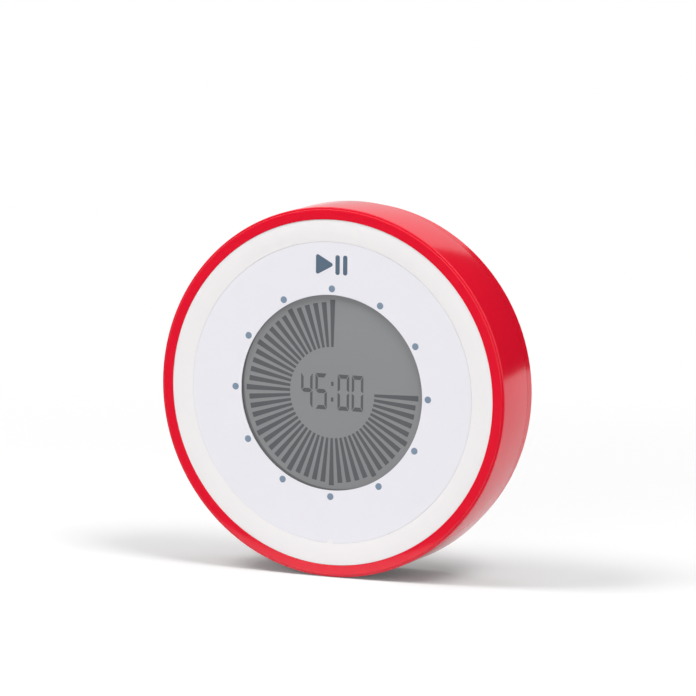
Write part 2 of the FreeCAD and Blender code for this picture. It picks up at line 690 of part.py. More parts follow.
def encoder_body():
    half = ENCODER_SIZE / 2
    case_back = BOARD_BACK + ENCODER_HEIGHT
    case = block(CENTRE_DISTANCE - half, CENTRE_DISTANCE + half, BOARD_BACK, case_back, -half, half)
    case = spin(case, math.degrees(ENCODER_ANGLE))
    neck_r = SHAFT_R + ENCODER_NECK_WALL
    neck = disc(neck_r, case_back, PINION_FRONT - PINION_END_GAP, ENCODER_X, ENCODER_Z)
    floor = BOARD_BACK + ENCODER_FLOOR
    bore = disc(SHAFT_R + SHAFT_CLEARANCE, floor, PINION_FRONT, ENCODER_X, ENCODER_Z)
    return case.fuse(neck).cut(bore)


def encoder_shaft():
    shaft_front = BOARD_BACK + ENCODER_FLOOR + PINION_END_GAP
    return disc(SHAFT_R, shaft_front, BRACKET_BACK, ENCODER_X, ENCODER_Z)


def encoder_pinion():
    teeth = gear_outline(PINION_TEETH, PINION_ROOT_R, PINION_TIP_R, -BACKLASH, PINION_FLANK_STEPS)
    solid = slab(teeth, PINION_FRONT, PINION_BACK)
    groove_r = PINION_ROOT_R - PINION_RIM
    hub_r = SHAFT_R + PINION_HUB_WALL
    solid = solid.cut(tube(groove_r, hub_r, PINION_FRONT, PINION_FRONT + PINION_WEB_DEPTH))
    solid = solid.cut(tube(groove_r, hub_r, PINION_BACK - PINION_WEB_DEPTH, PINION_BACK))
    solid = solid.cut(disc(SHAFT_R, PINION_FRONT, PINION_BACK))
    solid = spin(solid, math.degrees(ENCODER_ANGLE))
    return solid.translated(V(ENCODER_X, 0, ENCODER_Z))


def controller_chip():
    x, z = CHIP_X, CHIP_Z
    half = CHIP_HALF
    reach = CHIP_REACH
    row = CHIP_HALF - CHIP_LEG / 2
    lifted = BOARD_BACK + CHIP_LIFT
    solid = block(x - half, x + half, lifted, lifted + CHIP_HEIGHT, z - half, z + half)
    solid = solid.fuse(block(x - reach, x + reach, BOARD_BACK, lifted, z - row, z + row))
    return solid.fuse(block(x - row, x + row, BOARD_BACK, lifted, z - reach, z + reach))


def clock_crystal():
    start = at(CRYSTAL_X, BOARD_BACK + CRYSTAL_R, CRYSTAL_Z)
    return Part.makeCylinder(CRYSTAL_R, CRYSTAL_LENGTH, start, V(1, 0, 0))


def capacitors():
    back = BOARD_BACK + CAPACITOR_HEIGHT
    return Part.makeCompound([disc(CAPACITOR_R, BOARD_BACK, back, x, CAPACITOR_Z) for x in CAPACITOR_XS])


def board_header():
    """Pin header that joins the main board to the volume board."""
    half = HEADER_PITCH / 2
    first_x = VOLUME_X - HEADER_PITCH * (HEADER_PINS - 1) / 2
    last_x = VOLUME_X + HEADER_PITCH * (HEADER_PINS - 1) / 2
    low = VOLUME_Z - half
    high = VOLUME_Z + half
    solid = block(first_x - half, last_x + half, BOARD_BACK, BOARD_BACK + HEADER_BASE, low, high)
    pin = HEADER_PIN / 2
    for index in range(HEADER_PINS):
        x = first_x + HEADER_PITCH * index
        post = block(x - pin, x + pin, BOARD_BACK, VOLUME_BOARD_FRONT, VOLUME_Z - pin, VOLUME_Z + pin)
        solid = solid.fuse(post)
    return solid


def door_outline(front, back, grow, ear_front):
    """The battery door's plan with its two screw ears; grow turns it into the housing's rebate."""
    half = DOOR_X + grow
    low = DOOR_BOTTOM - grow
    high = DOOR_TOP + grow
    solid = rounded_block(-half, half, front, back, low, high, DOOR_CORNER_R + grow)
    for side in (-1, 1):
        solid = solid.fuse(disc(EAR_R + grow, ear_front, back, side * EAR_X, BOX_MID_Z))
    return solid.removeSplitter()


def housing_shell():
    """Red rear cup: tapered rim, flat back and a ring that centres the middle frame."""
    rim_in = HOUSING_R - REAR_RIM_WALL
    rear_r = HOUSING_R - REAR_DRAFT
    collar_in = JOURNAL_R + COLLAR_GAP
    collar_out = collar_in + COLLAR_WALL
    collar_front = HOUSING_FRONT + COLLAR_SETBACK
    solid = turned([(rim_in, HOUSING_FRONT), (HOUSING_R, HOUSING_FRONT), (rear_r, BODY_DEPTH),
                    (0, BODY_DEPTH), (0, BACK_INNER), (collar_in, BACK_INNER), (collar_in, collar_front),
                    (collar_out, collar_front), (collar_out, BACK_INNER), (rim_in, BACK_INNER)])
    return solid.makeFillet(REAR_ROUNDING, circle_edges(solid, rear_r, BODY_DEPTH))


def rear_housing():
    solid = housing_shell()
    solid = solid.fuse(block(-BOX_X, BOX_X, BOX_FRONT, BACK_INNER, BOX_BOTTOM_Z, BOX_TOP_Z))
    boss_front = EAR_FRONT - DOOR_SCREW_LENGTH
    for side in (-1, 1):
        boss = disc(DOOR_BOSS_R, boss_front, BACK_INNER, side * EAR_X, BOX_MID_Z)
        solid = solid.fuse(boss.common(disc(INNER_R - FRAME_GAP, boss_front, BACK_INNER)))
        seat_r = EAR_R + EAR_SEAT
        solid = solid.fuse(disc(seat_r, EAR_FRONT - EAR_FLOOR, BACK_INNER, side * EAR_X, BOX_MID_Z))
    pocket_front = BODY_DEPTH - MAGNET_THICKNESS - POCKET_FLOOR
    for x, z in magnet_places():
        solid = solid.fuse(disc(MAGNET_R + POCKET_WALL, pocket_front, BACK_INNER, x, z))
    rim_out = SOUNDER_R + SOUNDER_RIM
    rim_in = SOUNDER_R - SOUNDER_SEAT
    solid = solid.fuse(tube(rim_out, rim_in, SOUNDER_FRONT, BACK_INNER, SOUNDER_X, SOUNDER_Z))
    for x, z in volume_screw_places():
        solid = solid.fuse(disc(VOLUME_POST_R, VOLUME_BODY_FRONT, BACK_INNER, x, z))
    for degrees in HOUSING_SCREW_ANGLES:
        x, z = polar(HOUSING_SCREW_CIRCLE_R, degrees)
        post = disc(HOUSING_SCREW_HEAD_R + SINK_WALL, HOUSING_POST_FRONT, BACK_INNER, x, z)
        solid = solid.fuse(post.common(disc(INNER_R - FRAME_GAP, HOUSING_POST_FRONT, BACK_INNER)))
    return housing_cuts(solid)


def housing_cuts(solid):
    cuts = [block(-CHAMBER_X, CHAMBER_X, CHAMBER_FRONT, BODY_DEPTH, CHAMBER_BOTTOM, CHAMBER_TOP)]
    cuts.append(door_outline(DOOR_FRONT - RELIEF, BODY_DEPTH, DOOR_GAP, EAR_FRONT - RELIEF))
    hole_front = EAR_FRONT - DOOR_SCREW_LENGTH + DOOR_HOLE_FLOOR
    hole_r = DOOR_SCREW_R + DOOR_SCREW_GAP
    for side in (-1, 1):
        cuts.append(disc(hole_r, hole_front, BODY_DEPTH, side * EAR_X, BOX_MID_Z))
    for x, z in magnet_places():
        cuts.append(disc(MAGNET_R, BODY_DEPTH - MAGNET_THICKNESS, BODY_DEPTH, x, z))
    cuts.append(disc(SOUNDER_R, SOUNDER_FRONT, SOUNDER_FRONT + SOUNDER_DISC, SOUNDER_X, SOUNDER_Z))
    cuts.append(disc(SOUND_HOLE_R, BACK_INNER, BODY_DEPTH, SOUNDER_X, SOUNDER_Z))
    for index in range(SOUND_HOLES):
        x, z = polar(SOUND_HOLE_CIRCLE_R, 360 * index / SOUND_HOLES)
        cuts.append(disc(SOUND_HOLE_R, BACK_INNER, BODY_DEPTH, x + SOUNDER_X, z + SOUNDER_Z))
    reach = KNOB_LENGTH / 2 + VOLUME_TRAVEL + KNOB_GAP
    high = KNOB_HEIGHT / 2 + KNOB_GAP
    cuts.append(volume_block(reach, high, RECESS_FRONT, BODY_DEPTH))
    reach = STEM_LENGTH / 2 + VOLUME_TRAVEL + KNOB_GAP
    high = STEM_HEIGHT / 2 + KNOB_GAP
    cuts.append(volume_block(reach, high, BACK_INNER, BODY_DEPTH))
    for x, z in volume_screw_places():
        cuts.append(disc(VOLUME_SCREW_R, VOLUME_BODY_FRONT, BACK_INNER, x, z))
    for degrees in HOUSING_SCREW_ANGLES:
        x, z = polar(HOUSING_SCREW_CIRCLE_R, degrees)
        cuts.append(disc(HOUSING_SCREW_HEAD_R + HEAD_GAP, HOUSING_HEAD_FRONT, BODY_DEPTH, x, z))
        cuts.append(disc(HOUSING_SCREW_R + SCREW_HOLE_GAP, HOUSING_POST_FRONT, HOUSING_HEAD_FRONT, x, z))
    for x, z in leg_places():
        cuts.append(leg_slot(BOX_FRONT, CHAMBER_FRONT, x, z))
    for cut in cuts:
        solid = solid.cut(cut)
    ridge_z = (UPPER_CELL_Z + LOWER_CELL_Z) / 2
    root = CHAMBER_FRONT - RIDGE_ROOT
    corners = [at(-CHAMBER_X, root, ridge_z - RIDGE_HALF_WIDTH),
               at(-CHAMBER_X, CHAMBER_FRONT + RIDGE_HEIGHT, ridge_z),
               at(-CHAMBER_X, root, ridge_z + RIDGE_HALF_WIDTH)]
    ridge = Part.Face(Part.makePolygon(corners + corners[:1]))
    cradle = ridge.extrude(V(2 * CHAMBER_X, 0, 0))
    return solid.fuse(trimmed_to_cells(cradle))


def trimmed_to_cells(cradle):
    """Ridge between the cells, cut back to clear both of them and the contacts."""
    for z in (UPPER_CELL_Z, LOWER_CELL_Z):
        start = at(-CHAMBER_X, CELL_DEPTH, z)
        room = Part.makeCylinder(CELL_R + RIDGE_TO_CELL, 2 * CHAMBER_X, start, V(1, 0, 0))
        cradle = cradle.cut(room)
    inside = CHAMBER_X - CONTACT_SPRING
    root = CHAMBER_FRONT - RIDGE_ROOT
    return cradle.common(block(-inside, inside, root, CHAMBER_BACK, CHAMBER_BOTTOM, CHAMBER_TOP))


def battery_door():
    solid = door_outline(DOOR_FRONT, BODY_DEPTH, 0, EAR_FRONT)
    lip = rounded_block(-CHAMBER_X + DOOR_GAP, CHAMBER_X - DOOR_GAP, CHAMBER_BACK, DOOR_FRONT,
                        CHAMBER_BOTTOM + DOOR_GAP, CHAMBER_TOP - DOOR_GAP, DOOR_LIP_R)
    solid = solid.fuse(lip)
    for side in (-1, 1):
        sink_r = DOOR_SCREW_HEAD_R + HEAD_GAP
        solid = solid.cut(disc(sink_r, DOOR_HEAD_FRONT, BODY_DEPTH, side * EAR_X, BOX_MID_Z))
        solid = solid.cut(disc(DOOR_SCREW_R, EAR_FRONT, BODY_DEPTH, side * EAR_X, BOX_MID_Z))
    return solid


def door_screws():
    solids = []
    for side in (-1, 1):
        head_back = BODY_DEPTH - DOOR_HEAD_SINK
        tip = EAR_FRONT - DOOR_SCREW_LENGTH + DOOR_HOLE_FLOOR + DOOR_TIP_GAP
        head = disc(DOOR_SCREW_HEAD_R, DOOR_HEAD_FRONT, head_back, side * EAR_X, BOX_MID_Z)
        shank = disc(DOOR_SCREW_R, tip, DOOR_HEAD_FRONT, side * EAR_X, BOX_MID_Z)
        solids.append(head.fuse(shank))
    return Part.makeCompound(solids)


def housing_screws():
    solids = []
    for degrees in HOUSING_SCREW_ANGLES:
        x, z = polar(HOUSING_SCREW_CIRCLE_R, degrees)
        head = disc(HOUSING_SCREW_HEAD_R, HOUSING_HEAD_FRONT, HOUSING_HEAD_FRONT + HEAD_HEIGHT, x, z)
        shank = disc(HOUSING_SCREW_R, HOUSING_HEAD_FRONT - HOUSING_SCREW_LENGTH, HOUSING_HEAD_FRONT, x, z)
        solids.append(head.fuse(shank))
    return Part.makeCompound(solids)


def magnet_places():
    return [polar(MAGNET_CIRCLE_R, degrees) for degrees in MAGNET_ANGLES]


def magnets():
    front = BODY_DEPTH - MAGNET_THICKNESS
    return Part.makeCompound([disc(MAGNET_R, front, BODY_DEPTH, x, z) for x, z in magnet_places()])


def sounder_disc():
    return disc(SOUNDER_R, SOUNDER_FRONT, SOUNDER_FRONT + SOUNDER_DISC, SOUNDER_X, SOUNDER_Z)


def sounder_ceramic():
    return disc(CERAMIC_R, SOUNDER_FRONT - CERAMIC_THICKNESS, SOUNDER_FRONT, SOUNDER_X, SOUNDER_Z)


def volume_block(half, high, front, back):
    """Block centred on the volume switch."""
    return block(VOLUME_X - half, VOLUME_X + half, front, back, VOLUME_Z - high, VOLUME_Z + high)


def volume_board():
    half = VOLUME_BOARD_LENGTH / 2
    high = VOLUME_BOARD_HEIGHT / 2
    solid = volume_block(half, high, VOLUME_BOARD_FRONT, VOLUME_BODY_FRONT)
    for x, z in volume_screw_places():
        hole_r = VOLUME_SCREW_R + SCREW_HOLE_GAP
        solid = solid.cut(disc(hole_r, VOLUME_BOARD_FRONT, VOLUME_BODY_FRONT, x, z))
    return solid


def volume_screw_places():
    return [(VOLUME_X - VOLUME_POST_X, VOLUME_Z), (VOLUME_X + VOLUME_POST_X, VOLUME_Z)]


def volume_screws():
    solids = []
    for x, z in volume_screw_places():
        head_front = VOLUME_BOARD_FRONT - VOLUME_SCREW_HEAD
        head = disc(VOLUME_SCREW_HEAD_R, head_front, VOLUME_BOARD_FRONT, x, z)
        shank = disc(VOLUME_SCREW_R, VOLUME_BOARD_FRONT, BACK_INNER - SCREW_HOLE_GAP, x, z)
        solids.append(head.fuse(shank))
    return Part.makeCompound(solids)


def volume_switch():
    half = VOLUME_BODY_LENGTH / 2
    high = VOLUME_BODY_HEIGHT / 2
    solid = volume_block(half, high, VOLUME_BODY_FRONT, VOLUME_BODY_BACK)
    reach = STEM_LENGTH / 2 + VOLUME_TRAVEL + KNOB_GAP
    slot_high = STEM_HEIGHT / 2 + STEM_GAP
    return solid.cut(volume_block(reach, slot_high, STEM_FRONT - STEM_GAP, VOLUME_BODY_BACK))


def volume_knob():
    solid = volume_block(KNOB_LENGTH / 2, KNOB_HEIGHT / 2, KNOB_FRONT, KNOB_BACK)
    solid = solid.fuse(volume_block(STEM_LENGTH / 2, STEM_HEIGHT / 2, STEM_FRONT, KNOB_FRONT))
    pitch = KNOB_LENGTH / (KNOB_RIBS + 1)
    for index in range(KNOB_RIBS):
        groove = volume_block(KNOB_GROOVE / 2, KNOB_HEIGHT / 2, KNOB_BACK - KNOB_GROOVE, KNOB_BACK)
        solid = solid.cut(groove.translated(V(pitch * (index + 1) - KNOB_LENGTH / 2, 0, 0)))
    return solid


def battery_cells():
    solids = []
    for z, side in ((UPPER_CELL_Z, -1), (LOWER_CELL_Z, 1)):
        inner = CHAMBER_X - CONTACT_THICKNESS
        tip = at(side * inner, CELL_DEPTH, z)
        shoulder = at(side * (inner - CELL_NUB), CELL_DEPTH, z)
        nub = Part.makeCylinder(CELL_NUB_R, CELL_NUB, tip, V(-side, 0, 0))
        body = Part.makeCylinder(CELL_R, CELL_BODY, shoulder, V(-side, 0, 0))
        solids.append(body.fuse(nub))
    return Part.makeCompound(solids)


def contact_plate(side, z_low, z_high):
    outer = CHAMBER_X
    inner = CHAMBER_X - CONTACT_THICKNESS
    x_low, x_high = sorted((side * outer, side * inner))
    return block(x_low, x_high, CHAMBER_FRONT + CONTACT_FOOT, CHAMBER_BACK - CONTACT_INSET, z_low, z_high)


def contact_plates():
    half = CELL_R - CONTACT_INSET
    solids = [contact_plate(1, LOWER_CELL_Z - half, UPPER_CELL_Z + half)]
    for x, z in leg_places():
        plate = contact_plate(-1, z - half, z + half)
        thick = CONTACT_THICKNESS / 2
        wide = LEG_WIDTH / 2
        leg_back = CHAMBER_FRONT + CONTACT_FOOT + LEG_GAP
        leg = block(x - thick, x + thick, BOARD_FRONT - LEG_REACH, leg_back, z - wide, z + wide)
        solids.append(plate.fuse(leg).removeSplitter())
    return Part.makeCompound(solids)


def coil_contact(side, z):
    """Coil contact that presses on a cell's flat end, wound from a rounded wire."""
    length = CONTACT_SPRING - 2 * SPRING_WIRE_R
    pitch = length / SPRING_TURNS
    path = Part.makeHelix(pitch, length, SPRING_R)
    corners = []
    for index in range(WIRE_SIDES):
        turn = 2 * math.pi * index / WIRE_SIDES
        corners.append(V(SPRING_R + SPRING_WIRE_R * math.cos(turn), 0, SPRING_WIRE_R * math.sin(turn)))
    section = Part.makePolygon(corners + corners[:1])
    coil = Part.Wire(path.Edges).makePipeShell([section], True, True)
    foot = at(side * (CHAMBER_X - CONTACT_THICKNESS - SPRING_WIRE_R), CELL_DEPTH, z)
    coil.Placement = FreeCAD.Placement(foot, FreeCAD.Rotation(V(0, 0, 1), V(-side, 0, 0)))
    return coil


def battery_springs():
    return Part.makeCompound([coil_contact(1, UPPER_CELL_Z), coil_contact(-1, LOWER_CELL_Z)])


NODES = (
    twist_ring, dial_gear, face_bezel, face_overlay, face_plate, guide_screws, return_pads,
    front_polariser, lcd_front_glass, lcd_rear_glass, rear_reflector, lcd_clip, lcd_ribbon,
    main_board, board_screws, middle_frame, switch_body, switch_plunger, encoder_body,
    encoder_shaft, encoder_pinion, controller_chip, clock_crystal, capacitors, board_header,
    rear_housing, battery_door, door_screws, housing_screws, magnets, sounder_disc,
    sounder_ceramic, volume_board, volume_screws, volume_switch, volume_knob, battery_cells,
    contact_plates, battery_springs,
)

os.makedirs("parts", exist_ok=True)
for make in NODES:
    shape = make()
    shape.exportStep("parts/" + make.__name__ + ".step")
    print(make.__name__, shape.isValid(), len(shape.Solids), round(shape.Volume, 1))
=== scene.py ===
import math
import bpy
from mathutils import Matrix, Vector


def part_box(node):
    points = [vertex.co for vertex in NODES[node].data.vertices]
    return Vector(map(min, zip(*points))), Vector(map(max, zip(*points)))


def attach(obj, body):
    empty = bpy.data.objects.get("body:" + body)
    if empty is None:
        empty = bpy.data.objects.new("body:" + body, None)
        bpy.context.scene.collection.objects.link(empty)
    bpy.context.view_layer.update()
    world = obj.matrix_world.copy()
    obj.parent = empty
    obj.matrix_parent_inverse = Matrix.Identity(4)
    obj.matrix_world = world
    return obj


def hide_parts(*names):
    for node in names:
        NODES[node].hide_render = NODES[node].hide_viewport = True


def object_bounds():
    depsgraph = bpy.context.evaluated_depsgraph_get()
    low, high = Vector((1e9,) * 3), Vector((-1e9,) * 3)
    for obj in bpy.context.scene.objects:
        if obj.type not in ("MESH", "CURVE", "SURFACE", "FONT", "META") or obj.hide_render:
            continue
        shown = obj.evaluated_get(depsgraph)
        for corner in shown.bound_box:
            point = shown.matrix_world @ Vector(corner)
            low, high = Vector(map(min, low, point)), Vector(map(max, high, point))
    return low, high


bl_info = {
    "name": "Visual countdown timer",
    "version": (1, 0, 0),
    "blender": (4, 5, 0),
    "location": "View3D > Sidebar > Timer",
    "description": "Builds the looks of a round twist timer around its packed solids",
    "category": "Object",
}

import bmesh
import bpy
import mathutils
from mathutils import Vector

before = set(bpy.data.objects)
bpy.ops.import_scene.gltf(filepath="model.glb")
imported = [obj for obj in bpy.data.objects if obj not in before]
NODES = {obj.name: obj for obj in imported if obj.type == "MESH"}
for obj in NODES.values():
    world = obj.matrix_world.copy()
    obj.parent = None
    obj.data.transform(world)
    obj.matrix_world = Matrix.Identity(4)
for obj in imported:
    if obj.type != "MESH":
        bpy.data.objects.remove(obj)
CAD_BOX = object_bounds()

MM = 0.001
ROUND_STEPS = 288
SMOOTH_ANGLE = math.radians(32)

RING_LOW, RING_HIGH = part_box("twist_ring")
BEZEL_LOW, BEZEL_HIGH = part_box("face_bezel")
SHEET_LOW, SHEET_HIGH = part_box("face_overlay")
GLASS_LOW, GLASS_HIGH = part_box("lcd_front_glass")
FRONT_Y = RING_LOW.y
AXIS_Z = (RING_LOW.z + RING_HIGH.z) / 2
RING_R = (RING_HIGH.z - RING_LOW.z) / 2
SHEET_R = (SHEET_HIGH.x - SHEET_LOW.x) / 2
CELL_R = (GLASS_HIGH.x - GLASS_LOW.x) / 2

# The ring's inner steps, which the white band and the middle frame run in
BEARING_INSET = 4.52 * MM
RED_LIP_DEPTH = 3.15 * MM
BEARING_DEPTH = 5.1 * MM

# The white band's flange and the root of its key
FLANGE_DEPTH = 1.25 * MM
SKIRT_INSET = 3.75 * MM
KEY_ROOT = 0.4 * MM
NOTCH_ROOM = 0.05 * MM

# Ink on the sheet, and segments in the display
INK_PROUD = 0.012 * MM
INK_DEPTH = 0.05 * MM
DOT_EDGE = 0.008 * MM
SEGMENT_DEPTH = 0.02 * MM
CELL_EDGE = 0.05 * MM
FRAME_ROOM = 0.02 * MM
FRAME_GAP = 0.005 * MM

# Segments of a digit, the digits' left edges and the colon's dots
POST_WIDTH = 0.6 * MM
BAR_WIDTH = 0.95 * MM
SEGMENT_GAP = 0.11 * MM
SEGMENT_ROUNDING = 0.05 * MM
WAIST = 0.506
DIGIT_DROP = 0.48
DIGIT_LEFTS = (-7.8 * MM, -4.18 * MM, 1.4 * MM, 4.95 * MM)
COLON_HEIGHTS = (2.05 * MM, -1.6 * MM)
COLON_X = 0.05 * MM
COLON_HALF_WIDTH = 0.3 * MM
COLON_HALF_HEIGHT = 0.48 * MM

# Screws and magnets on the back
HOUSING_SCREW_HEAD = 1.2 * MM
HOUSING_SCREW_SHANK = 0.9 * MM
DOOR_SCREW_HEAD = 1.05 * MM
DOOR_SCREW_SHANK = 0.75 * MM
THREAD_PITCH = 0.6 * MM
THREAD_ROOT = 0.78
DRIVE_DEPTH = 0.65 * MM
DRIVE_CUTTER = 1.0 * MM
MAGNET_FRONT_EDGE = 0.2 * MM
MAGNET_BACK_EDGE = 0.3 * MM

# Finishes
GRAIN_RELIEF = 0.1 * MM
DUST_TONE = (0.55, 0.53, 0.5, 1.0)
BOUNCE_TONE = (0.3, 0.28, 0.28, 1.0)
BOUNCE_SHARE = 0.85
SIDE_SLOPE = 0.3
SHADE_LEAN = 0.7
SHADE_START = 0.1
SHADE_END = 0.6
SHADE_TONE = 0.55

# Studio
FLOOR_TONE = (0.74, 0.74, 0.74, 1.0)
FLOOR_REACH = 6.0
FLOOR_GAP = 0.02 * MM
FLOOR_LIFT = 0.08
FADE_START = 0.12
FADE_END = 0.3
WHITE = (1.0, 1.0, 1.0, 1.0)
CARD_BLACK = (0.01, 0.01, 0.01, 1.0)
CARD_GREY_GLOW = 0.7
CARD_HEIGHT = 0.5 * MM


# Settings that a user would change

class TimerRingSettings(bpy.types.PropertyGroup):
    """Sizes of the turning ring and the white band"""

    band_width: bpy.props.FloatProperty(
        name="Band width", description="Width of the red band seen from the front",
        default=2.8 * MM, subtype="DISTANCE", unit="LENGTH")
    lip_rounding: bpy.props.FloatProperty(
        name="Lip rounding", description="Radius of the red lip's outer front edge",
        default=0.22 * MM, subtype="DISTANCE", unit="LENGTH")
    shoulder_rounding: bpy.props.FloatProperty(
        name="Shoulder rounding", description="Radius between the shoulder and the side wall",
        default=0.3 * MM, subtype="DISTANCE", unit="LENGTH")
    shoulder: bpy.props.FloatProperty(
        name="Shoulder", description="Width of the shoulder round the red lip",
        default=0.48 * MM, subtype="DISTANCE", unit="LENGTH")
    edge_rounding: bpy.props.FloatProperty(
        name="Edge rounding", description="Radius of the small moulded edges",
        default=0.05 * MM, subtype="DISTANCE", unit="LENGTH")
    seam: bpy.props.FloatProperty(
        name="Seam", description="Fine gap that shows between the ring, the band and the sheet",
        default=0.035 * MM, subtype="DISTANCE", unit="LENGTH")
    step: bpy.props.FloatProperty(
        name="Step", description="Depth of the shoulder behind the lip's front",
        default=0.34 * MM, subtype="DISTANCE", unit="LENGTH")
    wall: bpy.props.FloatProperty(
        name="Wall", description="Thickness of the ring's side wall",
        default=1.4 * MM, subtype="DISTANCE", unit="LENGTH")
    key_width: bpy.props.FloatProperty(
        name="Key width", description="Width of the small key at six o'clock",
        default=1.5 * MM, subtype="DISTANCE", unit="LENGTH")
    key_reach: bpy.props.FloatProperty(
        name="Key reach", description="How far the key reaches in from the band",
        default=0.75 * MM, subtype="DISTANCE", unit="LENGTH")
    red: bpy.props.FloatVectorProperty(
        name="Red", description="Colour of the moulded red plastic", subtype="COLOR", size=4,
        min=0.0, max=1.0, default=(0.76, 0.006, 0.026, 1.0))
    white: bpy.props.FloatVectorProperty(
        name="White", description="Colour of the moulded white band", subtype="COLOR", size=4,
        min=0.0, max=1.0, default=(0.835, 0.81, 0.815, 1.0))


class TimerPrintSettings(bpy.types.PropertyGroup):
    """Sizes of the print on the face sheet"""

    window_radius: bpy.props.FloatProperty(
        name="Window radius", description="Clear window over the display",
        default=22.75 * MM, subtype="DISTANCE", unit="LENGTH")
    dot_circle: bpy.props.FloatProperty(
        name="Dot circle", description="Radius of the circle that carries the five-minute dots",
        default=24.178 * MM, subtype="DISTANCE", unit="LENGTH")
    dot_diameter: bpy.props.FloatProperty(
        name="Dot diameter", description="Diameter of a printed dot",
        default=1.6 * MM, subtype="DISTANCE", unit="LENGTH")
    dot_count: bpy.props.IntProperty(
        name="Dots", description="Number of five-minute dots", default=12)
    sign_height: bpy.props.FloatProperty(
        name="Start sign height", description="Height of the start and pause sign",
        default=4.6 * MM, subtype="DISTANCE", unit="LENGTH")
    sign_centre: bpy.props.FloatProperty(
        name="Start sign centre", description="Height of the sign's middle above the dial's middle",
        default=29.75 * MM, subtype="DISTANCE", unit="LENGTH")
    ink: bpy.props.FloatVectorProperty(
        name="Ink", description="Colour of the slate blue print", subtype="COLOR", size=4,
        min=0.0, max=1.0, default=(0.095, 0.145, 0.205, 1.0))
    dot_ink: bpy.props.FloatVectorProperty(
        name="Dot ink", description="Colour of the paler dots", subtype="COLOR", size=4,
        min=0.0, max=1.0, default=(0.2, 0.27, 0.36, 1.0))
    sheet: bpy.props.FloatVectorProperty(
        name="Sheet", description="Colour of the cool white sheet", subtype="COLOR", size=4,
        min=0.0, max=1.0, default=(0.79, 0.78, 0.825, 1.0))


class TimerDisplaySettings(bpy.types.PropertyGroup):
    """What the liquid crystal display shows"""

    minutes: bpy.props.IntProperty(
        name="Minutes", description="Minutes shown by the digits", default=45, min=0, max=60)
    apparent_depth: bpy.props.FloatProperty(
        name="Apparent depth",
        description="Depth of the picture behind the sheet, as the thin glass lifts it",
        default=0.55 * MM, subtype="DISTANCE", unit="LENGTH")
    shade_shift: bpy.props.FloatProperty(
        name="Edge shade",
        description="Shift of the soft shade inside the window's low left edge",
        default=0.75 * MM, subtype="DISTANCE", unit="LENGTH")
    bar_inner: bpy.props.FloatProperty(
        name="Bar inner radius", description="Inner end of the minute bars",
        default=10.6 * MM, subtype="DISTANCE", unit="LENGTH")
    bar_outer: bpy.props.FloatProperty(
        name="Bar outer radius", description="Outer end of the minute bars",
        default=21.0 * MM, subtype="DISTANCE", unit="LENGTH")
    long_bar_outer: bpy.props.FloatProperty(
        name="Long bar outer radius", description="Outer end of each fifth bar",
        default=21.6 * MM, subtype="DISTANCE", unit="LENGTH")
    bar_angle: bpy.props.FloatProperty(
        name="Bar angle", description="Angle that one bar fills",
        default=math.radians(3.35), subtype="ANGLE", unit="ROTATION")
    digit_height: bpy.props.FloatProperty(
        name="Digit height", description="Height of a digit",
        default=8.35 * MM, subtype="DISTANCE", unit="LENGTH")
    digit_width: bpy.props.FloatProperty(
        name="Digit width", description="Width of a digit",
        default=2.88 * MM, subtype="DISTANCE", unit="LENGTH")
    ground: bpy.props.FloatVectorProperty(
        name="Ground", description="Colour of the display's ground", subtype="COLOR", size=4,
        min=0.0, max=1.0, default=(0.262, 0.266, 0.272, 1.0))
    segment: bpy.props.FloatVectorProperty(
        name="Segment", description="Colour of a dark segment", subtype="COLOR", size=4,
        min=0.0, max=1.0, default=(0.118, 0.122, 0.130, 1.0))


class TimerStudioSettings(bpy.types.PropertyGroup):
    """Camera and lights"""

    azimuth: bpy.props.FloatProperty(
        name="Azimuth", description="Camera's turn to the dial's right",
        default=math.radians(23.56), subtype="ANGLE", unit="ROTATION")
    elevation: bpy.props.FloatProperty(
        name="Elevation", description="Camera's height above level",
        default=math.radians(8.02), subtype="ANGLE", unit="ROTATION")
    roll: bpy.props.FloatProperty(
        name="Roll", description="Camera's lean",
        default=math.radians(-0.456), subtype="ANGLE", unit="ROTATION")
    distance: bpy.props.FloatProperty(
        name="Distance", description="From the camera to its aim point",
        default=1.4497, subtype="DISTANCE", unit="LENGTH")
    aim: bpy.props.FloatVectorProperty(
        name="Aim", description="Point that the camera looks at", size=3,
        subtype="TRANSLATION", unit="LENGTH", default=(-0.00053, 0.00116, 0.05207))
    lens: bpy.props.FloatProperty(
        name="Lens", description="Focal length in millimetres", default=323.76)
    key_power: bpy.props.FloatProperty(
        name="Key power", description="Power of each of the two side lights in watts", default=10.5)
    fill_power: bpy.props.FloatProperty(
        name="Fill power", description="Power of the large front light in watts", default=4.2)
    top_power: bpy.props.FloatProperty(
        name="Top power", description="Power of the overhead light in watts", default=1.8)
    sky: bpy.props.FloatProperty(
        name="Sky", description="Strength of the even light from all round", default=0.26)


# Mesh helpers

def on_dial(x, depth, z):
    """Point from its place on the face and its depth behind the front."""
    return Vector((x, FRONT_Y + depth, AXIS_Z + z))


def mesh_of(name, build):
    """New mesh that a function fills through bmesh."""
    bm = bmesh.new()
    build(bm)
    bmesh.ops.recalc_face_normals(bm, faces=bm.faces)
    mesh = bpy.data.meshes.new(name)
    bm.to_mesh(mesh)
    bm.free()
    mesh.shade_smooth()
    mesh.set_sharp_from_angle(angle=SMOOTH_ANGLE)
    return mesh


def add_piece(name, build, material, body, replaced=()):
    """Builds a piece, gives it its finish and ties it to a body of the frame."""
    piece = bpy.data.objects.new(name, mesh_of(name, build))
    bpy.context.scene.collection.objects.link(piece)
    piece.data.materials.append(material)
    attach(piece, body)
    if replaced:
        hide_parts(*replaced)
    return piece


